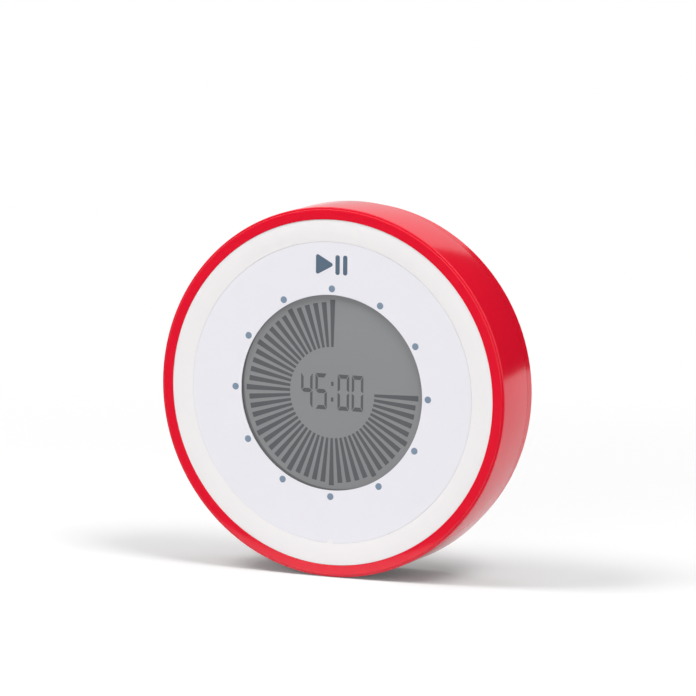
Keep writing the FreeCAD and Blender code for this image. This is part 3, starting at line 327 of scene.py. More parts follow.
def rounded(corners, steps=6):
    """Closed outline from (u, v, rounding) corners, with each rounding as an arc."""
    points = []
    for index, (u, v, rounding) in enumerate(corners):
        here = Vector((u, v))
        before = Vector(corners[index - 1][:2]) - here
        after = Vector(corners[(index + 1) % len(corners)][:2]) - here
        if rounding <= 0:
            points.append(here)
            continue
        half = before.angle(after) / 2
        inward = (before.normalized() + after.normalized()).normalized()
        centre = here + inward * (rounding / math.sin(half))
        start = here + before.normalized() * (rounding / math.tan(half)) - centre
        end = here + after.normalized() * (rounding / math.tan(half)) - centre
        sweep = start.angle_signed(end)
        for step in range(steps + 1):
            turned = start.copy()
            turned.rotate(mathutils.Matrix.Rotation(-sweep * step / steps, 2))
            points.append(centre + turned)
    return points


def lathe(bm, profile, x=0.0, z=0.0, steps=ROUND_STEPS, solid=False):
    """Piece turned about an axis along the depth, from (radius, depth) points.

    A solid piece gets flat ends. Otherwise the outline closes on itself as a ring.
    """
    rings = []
    for radius, depth in profile:
        ring = []
        for step in range(steps):
            turn = 2 * math.pi * step / steps
            point = on_dial(x + radius * math.cos(turn), depth, z + radius * math.sin(turn))
            ring.append(bm.verts.new(point))
        rings.append(ring)
    last = len(rings) - 1 if solid else len(rings)
    for index in range(last):
        here = rings[index]
        other = rings[(index + 1) % len(rings)]
        for step in range(steps):
            after = (step + 1) % steps
            bm.faces.new((here[step], here[after], other[after], other[step]))
    if solid:
        bm.faces.new(rings[0])
        bm.faces.new(list(reversed(rings[-1])))


def disc_profile(radius, front, back, front_edge, back_edge):
    """Outer half of a disc's section, with rounded rims."""
    corners = [(radius * 0.2, front, 0), (radius, front, front_edge), (radius, back, back_edge),
               (radius * 0.2, back, 0)]
    return rounded(corners, 5)


def prism(bm, outline, front, back):
    """Plate with an (x, z) outline between two depths."""
    low = [bm.verts.new(on_dial(x, front, z)) for x, z in outline]
    high = [bm.verts.new(on_dial(x, back, z)) for x, z in outline]
    bm.faces.new(low)
    bm.faces.new(list(reversed(high)))
    for index in range(len(outline)):
        after = (index + 1) % len(outline)
        bm.faces.new((low[index], high[index], high[after], low[after]))


def turned_by(points, angle):
    """Outline turned anticlockwise about the dial's middle."""
    cos, sin = math.cos(angle), math.sin(angle)
    return [(x * cos - z * sin, x * sin + z * cos) for x, z in points]


def arc(radius, start, end, steps):
    """Points along an arc of the dial, angles from three o'clock."""
    points = []
    for step in range(steps + 1):
        angle = start + (end - start) * step / steps
        points.append((radius * math.cos(angle), radius * math.sin(angle)))
    return points


# Shader groups and finishes

def shader_group(name, inputs, outputs):
    """New node group with its sockets, as (name, kind, default) and (name, kind), and its two end nodes."""
    group = bpy.data.node_groups.new(name, "ShaderNodeTree")
    for label, kind, default in inputs:
        made = group.interface.new_socket(label, in_out="INPUT", socket_type=kind)
        made.default_value = default
    for label, kind in outputs:
        group.interface.new_socket(label, in_out="OUTPUT", socket_type=kind)
    return group, group.nodes.new("NodeGroupInput"), group.nodes.new("NodeGroupOutput")


def feed(tree, target, value):
    """Gives a socket a link from another socket, or a plain value."""
    if isinstance(value, bpy.types.NodeSocket):
        tree.links.new(value, target)
    else:
        target.default_value = value


def math_node(tree, operation, *values):
    """Math node fed with sockets or numbers; gives its result's socket."""
    node = tree.nodes.new("ShaderNodeMath")
    node.operation = operation
    for place, value in enumerate(values):
        feed(tree, node.inputs[place], value)
    return node.outputs[0]


def vector_node(tree, operation, first, second=None, scale=None):
    """Vector math node fed with sockets or vectors; gives the node."""
    node = tree.nodes.new("ShaderNodeVectorMath")
    node.operation = operation
    feed(tree, node.inputs[0], first)
    if second is not None:
        feed(tree, node.inputs[1], second)
    if scale is not None:
        feed(tree, node.inputs["Scale"], scale)
    return node


def noise_node(tree, scale, detail):
    """Noise in the object's own coordinates; gives its value's socket."""
    place = tree.nodes.new("ShaderNodeTexCoord")
    noise = tree.nodes.new("ShaderNodeTexNoise")
    noise.inputs["Detail"].default_value = detail
    tree.links.new(place.outputs["Object"], noise.inputs["Vector"])
    feed(tree, noise.inputs["Scale"], scale)
    return noise.outputs["Fac"]


def range_node(tree, value, low, high, to_low=0.0, to_high=1.0, smooth=False):
    """Map range node; gives its result's socket."""
    node = tree.nodes.new("ShaderNodeMapRange")
    node.interpolation_type = "SMOOTHSTEP" if smooth else "LINEAR"
    node.inputs["From Min"].default_value = low
    node.inputs["From Max"].default_value = high
    node.inputs["To Min"].default_value = to_low
    node.inputs["To Max"].default_value = to_high
    tree.links.new(value, node.inputs["Value"])
    return node.outputs["Result"]


def tone_drift_group():
    """Slow drift of a moulding's colour over its surface."""
    name = "Tone drift"
    if name in bpy.data.node_groups:
        return bpy.data.node_groups[name]
    group, given, result = shader_group(
        name,
        (("Color", "NodeSocketColor", (0.5, 0.5, 0.5, 1.0)), ("Amount", "NodeSocketFloat", 0.04),
         ("Scale", "NodeSocketFloat", 60.0)),
        (("Color", "NodeSocketColor"),))
    cloud = noise_node(group, given.outputs["Scale"], 3.0)
    centred = math_node(group, "SUBTRACT", cloud, 0.5)
    swing = math_node(group, "MULTIPLY_ADD", centred, given.outputs["Amount"], 1.0)
    tinted = vector_node(group, "SCALE", given.outputs["Color"], scale=swing)
    group.links.new(tinted.outputs[0], result.inputs["Color"])
    return group


def fine_grain_group():
    """Fine spark-eroded grain of a mould: a height for the bump and a roughness."""
    name = "Fine grain"
    if name in bpy.data.node_groups:
        return bpy.data.node_groups[name]
    group, given, result = shader_group(
        name,
        (("Scale", "NodeSocketFloat", 2500.0), ("Roughness", "NodeSocketFloat", 0.4),
         ("Spread", "NodeSocketFloat", 0.08)),
        (("Height", "NodeSocketFloat"), ("Roughness", "NodeSocketFloat")))
    grain = noise_node(group, given.outputs["Scale"], 2.0)
    group.links.new(grain, result.inputs["Height"])
    patch = noise_node(group, 90.0, 4.0)
    centred = math_node(group, "SUBTRACT", patch, 0.5)
    spread = math_node(group, "MULTIPLY_ADD", centred, given.outputs["Spread"], given.outputs["Roughness"])
    group.links.new(spread, result.inputs["Roughness"])
    return group


def settled_dust_group():
    """Thin pale dust on what faces upwards, broken up by noise."""
    name = "Settled dust"
    if name in bpy.data.node_groups:
        return bpy.data.node_groups[name]
    group, given, result = shader_group(
        name,
        (("Color", "NodeSocketColor", (0.5, 0.5, 0.5, 1.0)), ("Amount", "NodeSocketFloat", 0.03)),
        (("Color", "NodeSocketColor"),))
    shape = group.nodes.new("ShaderNodeNewGeometry")
    apart = group.nodes.new("ShaderNodeSeparateXYZ")
    group.links.new(shape.outputs["Normal"], apart.inputs[0])
    upward = range_node(group, apart.outputs["Z"], 0.3, 1.0)
    specks = noise_node(group, 900.0, 6.0)
    broken = math_node(group, "MULTIPLY", upward, specks)
    share = math_node(group, "MULTIPLY", broken, given.outputs["Amount"])
    share.node.use_clamp = True
    mixed = group.nodes.new("ShaderNodeMix")
    mixed.data_type = "RGBA"
    bare, dusty = [item for item in mixed.inputs if item.type == "RGBA"]
    dusty.default_value = DUST_TONE
    group.links.new(share, mixed.inputs["Factor"])
    group.links.new(given.outputs["Color"], bare)
    group.links.new([item for item in mixed.outputs if item.type == "RGBA"][0], result.inputs["Color"])
    return group


def finish(name, colour, roughness=0.4, spread=0.08, grain=2500.0, bump=0.02, drift=0.05, dust=0.03,
           metallic=0.0, specular=0.5, coat=0.0):
    """Material with drifting tone, mould grain and a trace of dust."""
    if name in bpy.data.materials:
        return bpy.data.materials[name]
    material = bpy.data.materials.new(name)
    material.use_nodes = True
    nodes, links = material.node_tree.nodes, material.node_tree.links
    shader = nodes["Principled BSDF"]
    tone = nodes.new("ShaderNodeGroup")
    tone.node_tree = tone_drift_group()
    tone.inputs["Color"].default_value = colour
    tone.inputs["Amount"].default_value = drift
    dusty = nodes.new("ShaderNodeGroup")
    dusty.node_tree = settled_dust_group()
    dusty.inputs["Amount"].default_value = dust
    surface = nodes.new("ShaderNodeGroup")
    surface.node_tree = fine_grain_group()
    surface.inputs["Scale"].default_value = grain
    surface.inputs["Roughness"].default_value = roughness
    surface.inputs["Spread"].default_value = spread
    relief = nodes.new("ShaderNodeBump")
    relief.inputs["Strength"].default_value = bump
    relief.inputs["Distance"].default_value = GRAIN_RELIEF
    links.new(tone.outputs["Color"], dusty.inputs["Color"])
    links.new(dusty.outputs["Color"], shader.inputs["Base Color"])
    links.new(surface.outputs["Roughness"], shader.inputs["Roughness"])
    links.new(surface.outputs["Height"], relief.inputs["Height"])
    links.new(relief.outputs["Normal"], shader.inputs["Normal"])
    shader.inputs["Metallic"].default_value = metallic
    shader.inputs["Specular IOR Level"].default_value = specular
    shader.inputs["Coat Weight"].default_value = coat
    shader.inputs["Coat Roughness"].default_value = 0.1
    return material


def quiet_bounce(material):
    """Lets a strong colour tint its neighbours less, as in an evenly filled studio."""
    tree = material.node_tree
    shader = tree.nodes["Principled BSDF"]
    colour = shader.inputs["Base Color"].links[0].from_socket
    rays = tree.nodes.new("ShaderNodeLightPath")
    share = math_node(tree, "MULTIPLY", rays.outputs["Is Diffuse Ray"], BOUNCE_SHARE)
    mixed = tree.nodes.new("ShaderNodeMixRGB")
    mixed.inputs["Color2"].default_value = BOUNCE_TONE
    tree.links.new(share, mixed.inputs["Fac"])
    tree.links.new(colour, mixed.inputs["Color1"])
    tree.links.new(mixed.outputs[0], shader.inputs["Base Color"])


def level_sides(material):
    """Shades the housing's slightly tapered side as a straight one."""
    tree = material.node_tree
    relief = [node for node in tree.nodes if node.bl_idname == "ShaderNodeBump"][0]
    shape = tree.nodes.new("ShaderNodeNewGeometry")
    apart = tree.nodes.new("ShaderNodeSeparateXYZ")
    tree.links.new(shape.outputs["Normal"], apart.inputs[0])
    slope = math_node(tree, "ABSOLUTE", apart.outputs["Y"])
    steep = math_node(tree, "GREATER_THAN", slope, SIDE_SLOPE)
    kept = math_node(tree, "MULTIPLY", apart.outputs["Y"], steep)
    together = tree.nodes.new("ShaderNodeCombineXYZ")
    tree.links.new(apart.outputs["X"], together.inputs["X"])
    tree.links.new(kept, together.inputs["Y"])
    tree.links.new(apart.outputs["Z"], together.inputs["Z"])
    unit = vector_node(tree, "NORMALIZE", together.outputs[0])
    tree.links.new(unit.outputs[0], relief.inputs["Normal"])


def edge_shade(material):
    """Soft dark crescent at the window's low left edge, where the recess keeps the light out."""
    scene = bpy.context.scene
    shift = scene.timer_display.shade_shift
    window = scene.timer_print.window_radius
    tree = material.node_tree
    shader = tree.nodes["Principled BSDF"]
    colour = shader.inputs["Base Color"].links[0].from_socket
    place = tree.nodes.new("ShaderNodeTexCoord")
    middle = (shift, 0.0, AXIS_Z + shift * SHADE_LEAN)
    shifted = vector_node(tree, "SUBTRACT", place.outputs["Object"], middle)
    flat = vector_node(tree, "MULTIPLY", shifted.outputs[0], (1.0, 0.0, 1.0))
    reach = vector_node(tree, "LENGTH", flat.outputs[0])
    band = range_node(tree, reach.outputs["Value"], window + shift * SHADE_START, window + shift * SHADE_END,
                      1.0, SHADE_TONE, smooth=True)
    shaded = vector_node(tree, "SCALE", colour, scale=band)
    tree.links.new(shaded.outputs[0], shader.inputs["Base Color"])


def finishes():
    """Every finish of the timer by the name of its slot."""
    if "tt red_plastic" in bpy.data.materials:
        return {item.name[3:]: item for item in bpy.data.materials if item.name.startswith("tt ")}
    scene = bpy.context.scene
    red = tuple(scene.timer_ring.red)
    made = {}

    def keep(slot, colour, **rest):
        made[slot] = finish("tt " + slot, colour, **rest)

    for slot in ("red_plastic", "red_rear"):
        keep(slot, red, roughness=0.14, spread=0.05, grain=1800.0, bump=0.02, dust=0.01)
    keep("white_plastic", tuple(scene.timer_ring.white), roughness=0.42, drift=0.02, dust=0.0, specular=0.4)
    keep("printed_sheet", tuple(scene.timer_print.sheet), roughness=0.5, drift=0.015, dust=0.0, specular=0.35)
    keep("ink", tuple(scene.timer_print.ink), roughness=0.5, drift=0.1, dust=0.0, grain=5000.0)
    keep("dot_ink", tuple(scene.timer_print.dot_ink), roughness=0.5, drift=0.1, dust=0.0, grain=5000.0)
    keep("acetal", (0.78, 0.78, 0.74, 1.0), roughness=0.35, drift=0.03)
    keep("grey_plastic", (0.3, 0.31, 0.32, 1.0), roughness=0.5, bump=0.08)
    keep("dark_plastic", (0.025, 0.025, 0.028, 1.0), roughness=0.45, bump=0.08)
    keep("board_green", (0.015, 0.11, 0.045, 1.0), roughness=0.3, drift=0.5, grain=900.0, coat=0.4)
    keep("display_glass", tuple(scene.timer_display.ground), roughness=0.12, drift=0.05, dust=0.0,
         grain=4000.0, bump=0.01)
    keep("segment", tuple(scene.timer_display.segment), roughness=0.2, drift=0.12, dust=0.0, grain=4000.0)
    # Near-black tone. On the display frame it is painted shade at the window's edge.
    keep("gasket", (0.05, 0.052, 0.056, 1.0), roughness=0.6, drift=0.1, dust=0.0)
    keep("polariser", (0.23, 0.24, 0.245, 1.0), roughness=0.25, drift=0.03, dust=0.0)
    keep("reflector", (0.55, 0.56, 0.57, 1.0), roughness=0.35, metallic=0.6, drift=0.06, dust=0.0)
    keep("sponge", (0.06, 0.06, 0.065, 1.0), roughness=0.9, grain=1200.0, bump=0.6, drift=0.2)
    keep("steel", (0.5, 0.5, 0.51, 1.0), roughness=0.28, metallic=1.0, grain=3000.0, drift=0.1)
    keep("nickel", (0.62, 0.6, 0.56, 1.0), roughness=0.22, metallic=1.0, grain=2500.0, drift=0.08)
    keep("brass", (0.72, 0.5, 0.2, 1.0), roughness=0.3, metallic=1.0, drift=0.1)
    keep("ceramic", (0.75, 0.74, 0.7, 1.0), roughness=0.55, drift=0.05)
    keep("cell_jacket", (0.02, 0.07, 0.16, 1.0), roughness=0.25, drift=0.15, coat=0.3)
    keep("ribbon_film", (0.5, 0.22, 0.04, 1.0), roughness=0.3, drift=0.2, grain=700.0)
    keep("capacitor_can", (0.6, 0.6, 0.61, 1.0), roughness=0.3, metallic=1.0, drift=0.05)
    level_sides(made["red_rear"])
    for slot in ("red_plastic", "red_rear"):
        quiet_bounce(made[slot])
    for slot in ("display_glass", "segment"):
        edge_shade(made[slot])
    return made


# Pieces

def build_ring(bm):
    """Red ring with its lip, shoulder, side wall and the steps inside."""
    ring = bpy.context.scene.timer_ring
    edge = ring.edge_rounding
    red_inner = RING_R - ring.band_width
    lip = RING_R - ring.shoulder
    bearing = RING_R - BEARING_INSET
    inner = RING_R - ring.wall
    length = RING_HIGH.y - RING_LOW.y
    corners = [(red_inner, 0, edge), (lip, 0, ring.lip_rounding), (lip, ring.step, edge / 2),
               (RING_R, ring.step, ring.shoulder_rounding), (RING_R, length, edge), (inner, length, edge / 2),
               (inner, BEARING_DEPTH, edge / 2), (bearing, BEARING_DEPTH, edge / 2),
               (bearing, RED_LIP_DEPTH, edge / 2), (red_inner, RED_LIP_DEPTH, edge / 2)]
    lathe(bm, rounded(corners, 10))


def build_bezel(bm):
    """White band with its skirt, and the key that points inwards at six o'clock."""
    ring = bpy.context.scene.timer_ring
    edge = ring.edge_rounding
    outer = RING_R - ring.band_width - ring.seam
    inner = SHEET_R + ring.seam
    front = BEZEL_LOW.y - FRONT_Y
    back = BEZEL_HIGH.y - FRONT_Y
    flange = front + FLANGE_DEPTH
    skirt = outer - SKIRT_INSET
    corners = [(inner, front, edge), (outer, front, edge), (outer, flange, edge / 2), (skirt, flange, 0),
               (skirt, back, edge / 2), (inner, back, edge / 2)]
    lathe(bm, rounded(corners, 5))
    half = ring.key_width / 2
    tip = -(inner - ring.key_reach)
    root = -(inner + KEY_ROOT)
    key = rounded([(-half, root, 0), (half, root, 0), (half, tip, edge * 2), (-half, tip, edge * 2)], 5)
    prism(bm, key, front + edge / 4, flange)


def build_sheet(bm):
    """Printed annulus with a notch for the key and a clear window in the middle."""
    ring = bpy.context.scene.timer_ring
    window_radius = bpy.context.scene.timer_print.window_radius
    front = SHEET_LOW.y - FRONT_Y
    back = SHEET_HIGH.y - FRONT_Y
    half = ring.key_width / 2 + ring.seam
    reach = SHEET_R - ring.key_reach + NOTCH_ROOM
    opening = math.asin(half / SHEET_R)
    start = -math.pi / 2 + opening
    end = start + 2 * math.pi - 2 * opening
    outer = arc(SHEET_R, start, end, ROUND_STEPS) + [(-half, -reach), (half, -reach)]
    inner = arc(window_radius, start, end, ROUND_STEPS)
    for side in (-window_radius * 0.02, window_radius * 0.02):
        inner.append((side, -math.sqrt(window_radius ** 2 - side ** 2)))
    front_outer, front_inner, back_outer, back_inner = (
        [bm.verts.new(on_dial(x, depth, z)) for x, z in outline]
        for depth, outline in ((front, outer), (front, inner), (back, outer), (back, inner)))
    for index in range(len(outer)):
        after = (index + 1) % len(outer)
        bm.faces.new((front_outer[index], front_outer[after], front_inner[after], front_inner[index]))
        bm.faces.new((back_outer[after], back_outer[index], back_inner[index], back_inner[after]))
        bm.faces.new((front_outer[after], front_outer[index], back_outer[index], back_outer[after]))
        bm.faces.new((front_inner[index], front_inner[after], back_inner[after], back_inner[index]))


def build_dots(bm):
    """Printed dots, one for each five minutes."""
    print_sizes = bpy.context.scene.timer_print
    front = SHEET_LOW.y - FRONT_Y
    profile = disc_profile(print_sizes.dot_diameter / 2, front - INK_PROUD, front + INK_DEPTH, DOT_EDGE, 0)
    for index in range(print_sizes.dot_count):
        turn = math.pi / 2 - 2 * math.pi * index / print_sizes.dot_count
        lathe(bm, profile, print_sizes.dot_circle * math.cos(turn), print_sizes.dot_circle * math.sin(turn),
              40, True)


def build_sign(bm):
    """Start and pause sign above the window."""
    height = bpy.context.scene.timer_print.sign_height
    middle = bpy.context.scene.timer_print.sign_centre
    front = SHEET_LOW.y - FRONT_Y - INK_PROUD
    back = SHEET_LOW.y - FRONT_Y + INK_DEPTH
    half = height / 2
    left = -0.88 * height
    tip = left + 1.02 * height
    corner = 0.1 * height
    arrow = [(left, middle - half * 1.12, corner), (tip, middle, corner),
             (left, middle + half * 1.12, corner)]
    prism(bm, rounded(arrow, 8), front, back)
    bar = 0.235 * height
    rounding = bar * 0.49
    for low in (0.185 * height, 0.6 * height):
        corners = [(low, middle - half, rounding), (low + bar, middle - half, rounding),
                   (low + bar, middle + half, rounding), (low, middle + half, rounding)]
        prism(bm, rounded(corners, 8), front, back)


def picture_depth():
    """Depth behind the front at which the display's picture appears."""
    return SHEET_LOW.y - FRONT_Y + bpy.context.scene.timer_display.apparent_depth


def build_cell(bm):
    """Display cell, at the depth where its picture appears."""
    back = GLASS_HIGH.y - FRONT_Y
    lathe(bm, disc_profile(CELL_R, picture_depth(), back, CELL_EDGE, CELL_EDGE), solid=True)


def build_shade_frame(bm):
    """Dark frame between the sheet and the cell. Its near-black wall is painted shade, which shows as a
    crescent at the window's far edge.
    """
    inner = bpy.context.scene.timer_print.window_radius + FRAME_ROOM
    front = SHEET_HIGH.y - FRONT_Y
    back = picture_depth() - FRAME_GAP
    lathe(bm, [(inner, front), (CELL_R, front), (CELL_R, back), (inner, back)])


def build_bars(bm):
    """Minute bars from twelve o'clock anticlockwise, one more than the minutes left."""
    display = bpy.context.scene.timer_display
    front = picture_depth() - INK_PROUD
    back = picture_depth() + SEGMENT_DEPTH
    half = display.bar_angle / 2
    for minute in range(display.minutes + 1):
        far = display.bar_outer if minute % 5 else display.long_bar_outer
        turn = math.pi / 2 + math.radians(6) * minute
        outline = arc(display.bar_inner, turn - half, turn + half, 3)
        outline += list(reversed(arc(far, turn - half, turn + half, 5)))
        prism(bm, outline, front, back)


DIGITS = {
    "0": "abcdef", "1": "bc", "2": "abged", "3": "abgcd", "4": "fgbc",
    "5": "afgcd", "6": "afgedc", "7": "abc", "8": "abcdefg", "9": "abcdfg",
}


def segments(left, low, width, height):
    """Seven segment outlines of one digit, by their letters."""
    post, bar, gap = POST_WIDTH, BAR_WIDTH, SEGMENT_GAP
    right = left + width
    top = low + height
    middle = low + height * WAIST
    return {
        "a": [(left + gap, top), (right - gap, top), (right - post - gap, top - bar),
              (left + post + gap, top - bar)],
        "d": [(left + gap, low), (left + post + gap, low + bar), (right - post - gap, low + bar),
              (right - gap, low)],
        "g": [(left + gap * 1.5, middle), (left + post + gap, middle + bar / 2),
              (right - post - gap, middle + bar / 2), (right - gap * 1.5, middle),
              (right - post - gap, middle - bar / 2), (left + post + gap, middle - bar / 2)],
        "f": [(left, top - gap), (left + post, top - bar - gap), (left + post, middle + bar / 2 + gap),
              (left, middle + gap)],
        "e": [(left, low + gap), (left, middle - gap), (left + post, middle - bar / 2 - gap),
              (left + post, low + bar + gap)],
        "b": [(right, top - gap), (right, middle + gap), (right - post, middle + bar / 2 + gap),
              (right - post, top - bar - gap)],
        "c": [(right, low + gap), (right - post, low + bar + gap), (right - post, middle - bar / 2 - gap),
              (right, middle - gap)],
    }


def build_digits(bm):
    """Minutes and seconds with the colon between them."""
    display = bpy.context.scene.timer_display
    front = picture_depth() - INK_PROUD
    back = picture_depth() + SEGMENT_DEPTH
    low = -DIGIT_DROP * display.digit_height
    for left, figure in zip(DIGIT_LEFTS, f"{display.minutes:02d}00"):
        shapes = segments(left, low, display.digit_width, display.digit_height)
        for letter in DIGITS[figure]:
            corners = [(x, z, SEGMENT_ROUNDING) for x, z in shapes[letter]]
            prism(bm, rounded(corners, 3), front, back)
    wide, tall = COLON_HALF_WIDTH, COLON_HALF_HEIGHT
    for height in COLON_HEIGHTS:
        prism(bm, [(COLON_X + u * wide, height + v * tall) for u, v in ((-1, -1), (1, -1), (1, 1), (-1, 1))],
              front, back)


def cross_recess(name, radius, front, depth, centres):
    """Cutter for the crossed drive of screw heads that face backwards."""
    def build(bm):
        arm = radius * 0.62
        half = radius * 0.17
        for x, z in centres:
            cross = [(half, half), (half, arm), (-half, arm), (-half, half), (-arm, half), (-arm, -half),
                     (-half, -half), (-half, -arm), (half, -arm), (half, -half), (arm, -half), (arm, half)]
            # Each screw has stopped at another angle, which follows from its place
            cross = turned_by(cross, math.radians(25 + 4000 * (x + z)))
            prism(bm, [(x + u, z + v) for u, v in cross], front, front + depth)
    cutter = bpy.data.objects.new(name, mesh_of(name, build))
    bpy.context.scene.collection.objects.link(cutter)
    return cutter


def cut_with(piece, cutter):
    """Cuts one piece's shape out of another for good and removes the cutter."""
    modifier = piece.modifiers.new("Recess", "BOOLEAN")
    modifier.object = cutter
    modifier.operation = "DIFFERENCE"
    modifier.solver = "EXACT"
    graph = bpy.context.evaluated_depsgraph_get()
    cut = bpy.data.meshes.new_from_object(piece.evaluated_get(graph))
    piece.modifiers.remove(modifier)
    old = piece.data
    piece.data = cut
    bpy.data.meshes.remove(old)
    bpy.data.objects.remove(cutter)
    cut.shade_smooth()
    cut.set_sharp_from_angle(angle=SMOOTH_ANGLE)


def islands(node):
    """Separate solids of a CAD node, each as the (low, high) corners of its box."""
    bm = bmesh.new()
    bm.from_mesh(NODES[node].data)
    bmesh.ops.remove_doubles(bm, verts=bm.verts, dist=1e-7)
    waiting = set(bm.verts)
    found = []
    while waiting:
        front = [waiting.pop()]
        group = list(front)
        while front:
            vert = front.pop()
            for edge in vert.link_edges:
                other = edge.other_vert(vert)
                if other in waiting:
                    waiting.remove(other)
                    front.append(other)
                    group.append(other)
        low = Vector([min(vert.co[axis] for vert in group) for axis in range(3)])
        high = Vector([max(vert.co[axis] for vert in group) for axis in range(3)])
        found.append((low, high))
    bm.free()
    return found


def screw_piece(name, node, body, head, shank_radius):
    """Screws with domed heads, a crossed drive and rolled threads, in place of a CAD node."""
    spots = islands(node)
    radius = (spots[0][1].x - spots[0][0].x) / 2
    centres = []

    def build(bm):
        for low, high in spots:
            x = (low.x + high.x) / 2
            z = (low.z + high.z) / 2 - AXIS_Z
            centres.append((x, z))
            tip = low.y - FRONT_Y
            crown = high.y - FRONT_Y
            under = crown - head
            profile = [(shank_radius * 0.3, tip), (shank_radius * 0.8, tip + THREAD_PITCH / 2)]
            depth = tip + 0.5 * MM
            while depth + THREAD_PITCH < under:
                profile.append((shank_radius * THREAD_ROOT, depth))
                profile.append((shank_radius, depth + THREAD_PITCH / 2))
                depth += THREAD_PITCH
            profile += [(shank_radius * THREAD_ROOT, depth), (shank_radius * THREAD_ROOT, under)]
            profile += [(radius * 0.97, under), (radius, under + 0.08 * MM), (radius, crown - head * 0.45)]
            for step in range(1, 7):
                turn = math.pi / 2 * step / 7
                profile.append((radius * (0.35 + 0.65 * math.cos(turn)),
                                crown - head * 0.45 * (1 - math.sin(turn))))
            profile.append((radius * 0.3, crown))
            lathe(bm, profile, x, z, 48, True)

    piece = add_piece(name, build, finishes()["steel"], body, (node,))
    crown = spots[0][1].y - FRONT_Y
    cutter = cross_recess(name + "_recess", radius, crown - DRIVE_DEPTH, DRIVE_CUTTER, centres)
    cut_with(piece, cutter)


def magnet_piece():
    """Four plated discs with rounded rims that hold the timer to a metal board."""
    spots = islands("magnets")

    def build(bm):
        for low, high in spots:
            x = (low.x + high.x) / 2
            z = (low.z + high.z) / 2 - AXIS_Z
            profile = disc_profile((high.x - low.x) / 2, low.y - FRONT_Y, high.y - FRONT_Y, MAGNET_FRONT_EDGE,
                                   MAGNET_BACK_EDGE)
            lathe(bm, profile, x, z, 96, True)

    add_piece("magnet_discs", build, finishes()["nickel"], "base", ("magnets",))


# Operators

class TimerStep:
    """Shared parts of the timer's operators"""

    bl_options = {"REGISTER", "UNDO"}

    @classmethod
    def poll(cls, context):
        return "twist_ring" in NODES


class TIMER_OT_finishes(TimerStep, bpy.types.Operator):
    """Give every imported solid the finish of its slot"""

    bl_idname = "timer.finishes"
    bl_label = "Finishes"

    def execute(self, context):
        made = finishes()
        for node in NODES.values():
            for place in node.material_slots:
                slot = place.material.name.split(".")[0]
                if slot not in made:
                    raise RuntimeError(f"no finish for slot {slot}")
                place.material = made["red_rear" if slot == "red_plastic" else slot]
        return {"FINISHED"}


class TIMER_OT_ring(TimerStep, bpy.types.Operator):
    """Turned shell of the red ring, with its rounded edges"""

    bl_idname = "timer.ring"
    bl_label = "Red ring"

    def execute(self, context):
        add_piece("ring_shell", build_ring, finishes()["red_plastic"], "dial",
                  ("twist_ring",))
        return {"FINISHED"}


class TIMER_OT_bezel(TimerStep, bpy.types.Operator):
    """White band with the small key at six o'clock"""

    bl_idname = "timer.bezel"
    bl_label = "White band"

    def execute(self, context):
        add_piece("bezel_band", build_bezel, finishes()["white_plastic"], "base",
                  ("face_bezel",))
        return {"FINISHED"}


class TIMER_OT_sheet(TimerStep, bpy.types.Operator):
    """Printed sheet with its clear window"""

    bl_idname = "timer.sheet"
    bl_label = "Face sheet"

    def execute(self, context):
        add_piece("face_sheet", build_sheet, finishes()["printed_sheet"], "face",
                  ("face_overlay",))
        return {"FINISHED"}


class TIMER_OT_print(TimerStep, bpy.types.Operator):
    """Printed dots and the start and pause sign"""

    bl_idname = "timer.print"
    bl_label = "Print"

    def execute(self, context):
        add_piece("minute_dots", build_dots, finishes()["dot_ink"], "face")
        add_piece("start_sign", build_sign, finishes()["ink"], "face")
        return {"FINISHED"}


class TIMER_OT_display(TimerStep, bpy.types.Operator):
    """Display cell with its frame, minute bars and digits"""

    bl_idname = "timer.display"
    bl_label = "Display"

    def execute(self, context):
        made = finishes()
        add_piece("display_cell", build_cell, made["display_glass"], "face",
                  ("front_polariser", "lcd_front_glass"))
        # The frame's near-black wall is painted shade inside the window's edge.
        add_piece("display_frame", build_shade_frame, made["gasket"], "face")
        add_piece("minute_bars", build_bars, made["segment"], "face")
        add_piece("time_digits", build_digits, made["segment"], "face")
        return {"FINISHED"}


class TIMER_OT_screws(TimerStep, bpy.types.Operator):
    """Screws and magnets on the back"""

    bl_idname = "timer.screws"
    bl_label = "Screws and magnets"

    def execute(self, context):
        screw_piece("housing_screw_set", "housing_screws", "base", HOUSING_SCREW_HEAD, HOUSING_SCREW_SHANK)
        screw_piece("door_screw_set", "door_screws", "door", DOOR_SCREW_HEAD, DOOR_SCREW_SHANK)
        magnet_piece()
        return {"FINISHED"}


class TIMER_OT_studio(TimerStep, bpy.types.Operator):
    """Pale floor, soft lights and the camera"""

    bl_idname = "timer.studio"
    bl_label = "Studio"

    def execute(self, context):
        build_world()
        build_floor()
        build_cards()
        build_lights()
        build_camera()
        return {"FINISHED"}


# Studio

def build_world():
    """White for the camera and for mirrors, dimmer and even for the light itself."""
    world = bpy.data.worlds.new("Studio")
    bpy.context.scene.world = world
    world.use_nodes = True
    tree = world.node_tree
    ground = tree.nodes["Background"]
    ground.inputs["Color"].default_value = WHITE
    ground.inputs["Strength"].default_value = bpy.context.scene.timer_studio.sky
    seen = tree.nodes.new("ShaderNodeBackground")
    seen.inputs["Color"].default_value = WHITE
    seen.inputs["Strength"].default_value = 1.0
    rays = tree.nodes.new("ShaderNodeLightPath")
    direct = math_node(tree, "MAXIMUM", rays.outputs["Is Camera Ray"], rays.outputs["Is Glossy Ray"])
    watched = math_node(tree, "MAXIMUM", direct, rays.outputs["Is Transmission Ray"])
    mix = tree.nodes.new("ShaderNodeMixShader")
    tree.links.new(watched, mix.inputs["Fac"])
    tree.links.new(ground.outputs[0], mix.inputs[1])
    tree.links.new(seen.outputs[0], mix.inputs[2])
    tree.links.new(mix.outputs[0], tree.nodes["World Output"].inputs["Surface"])


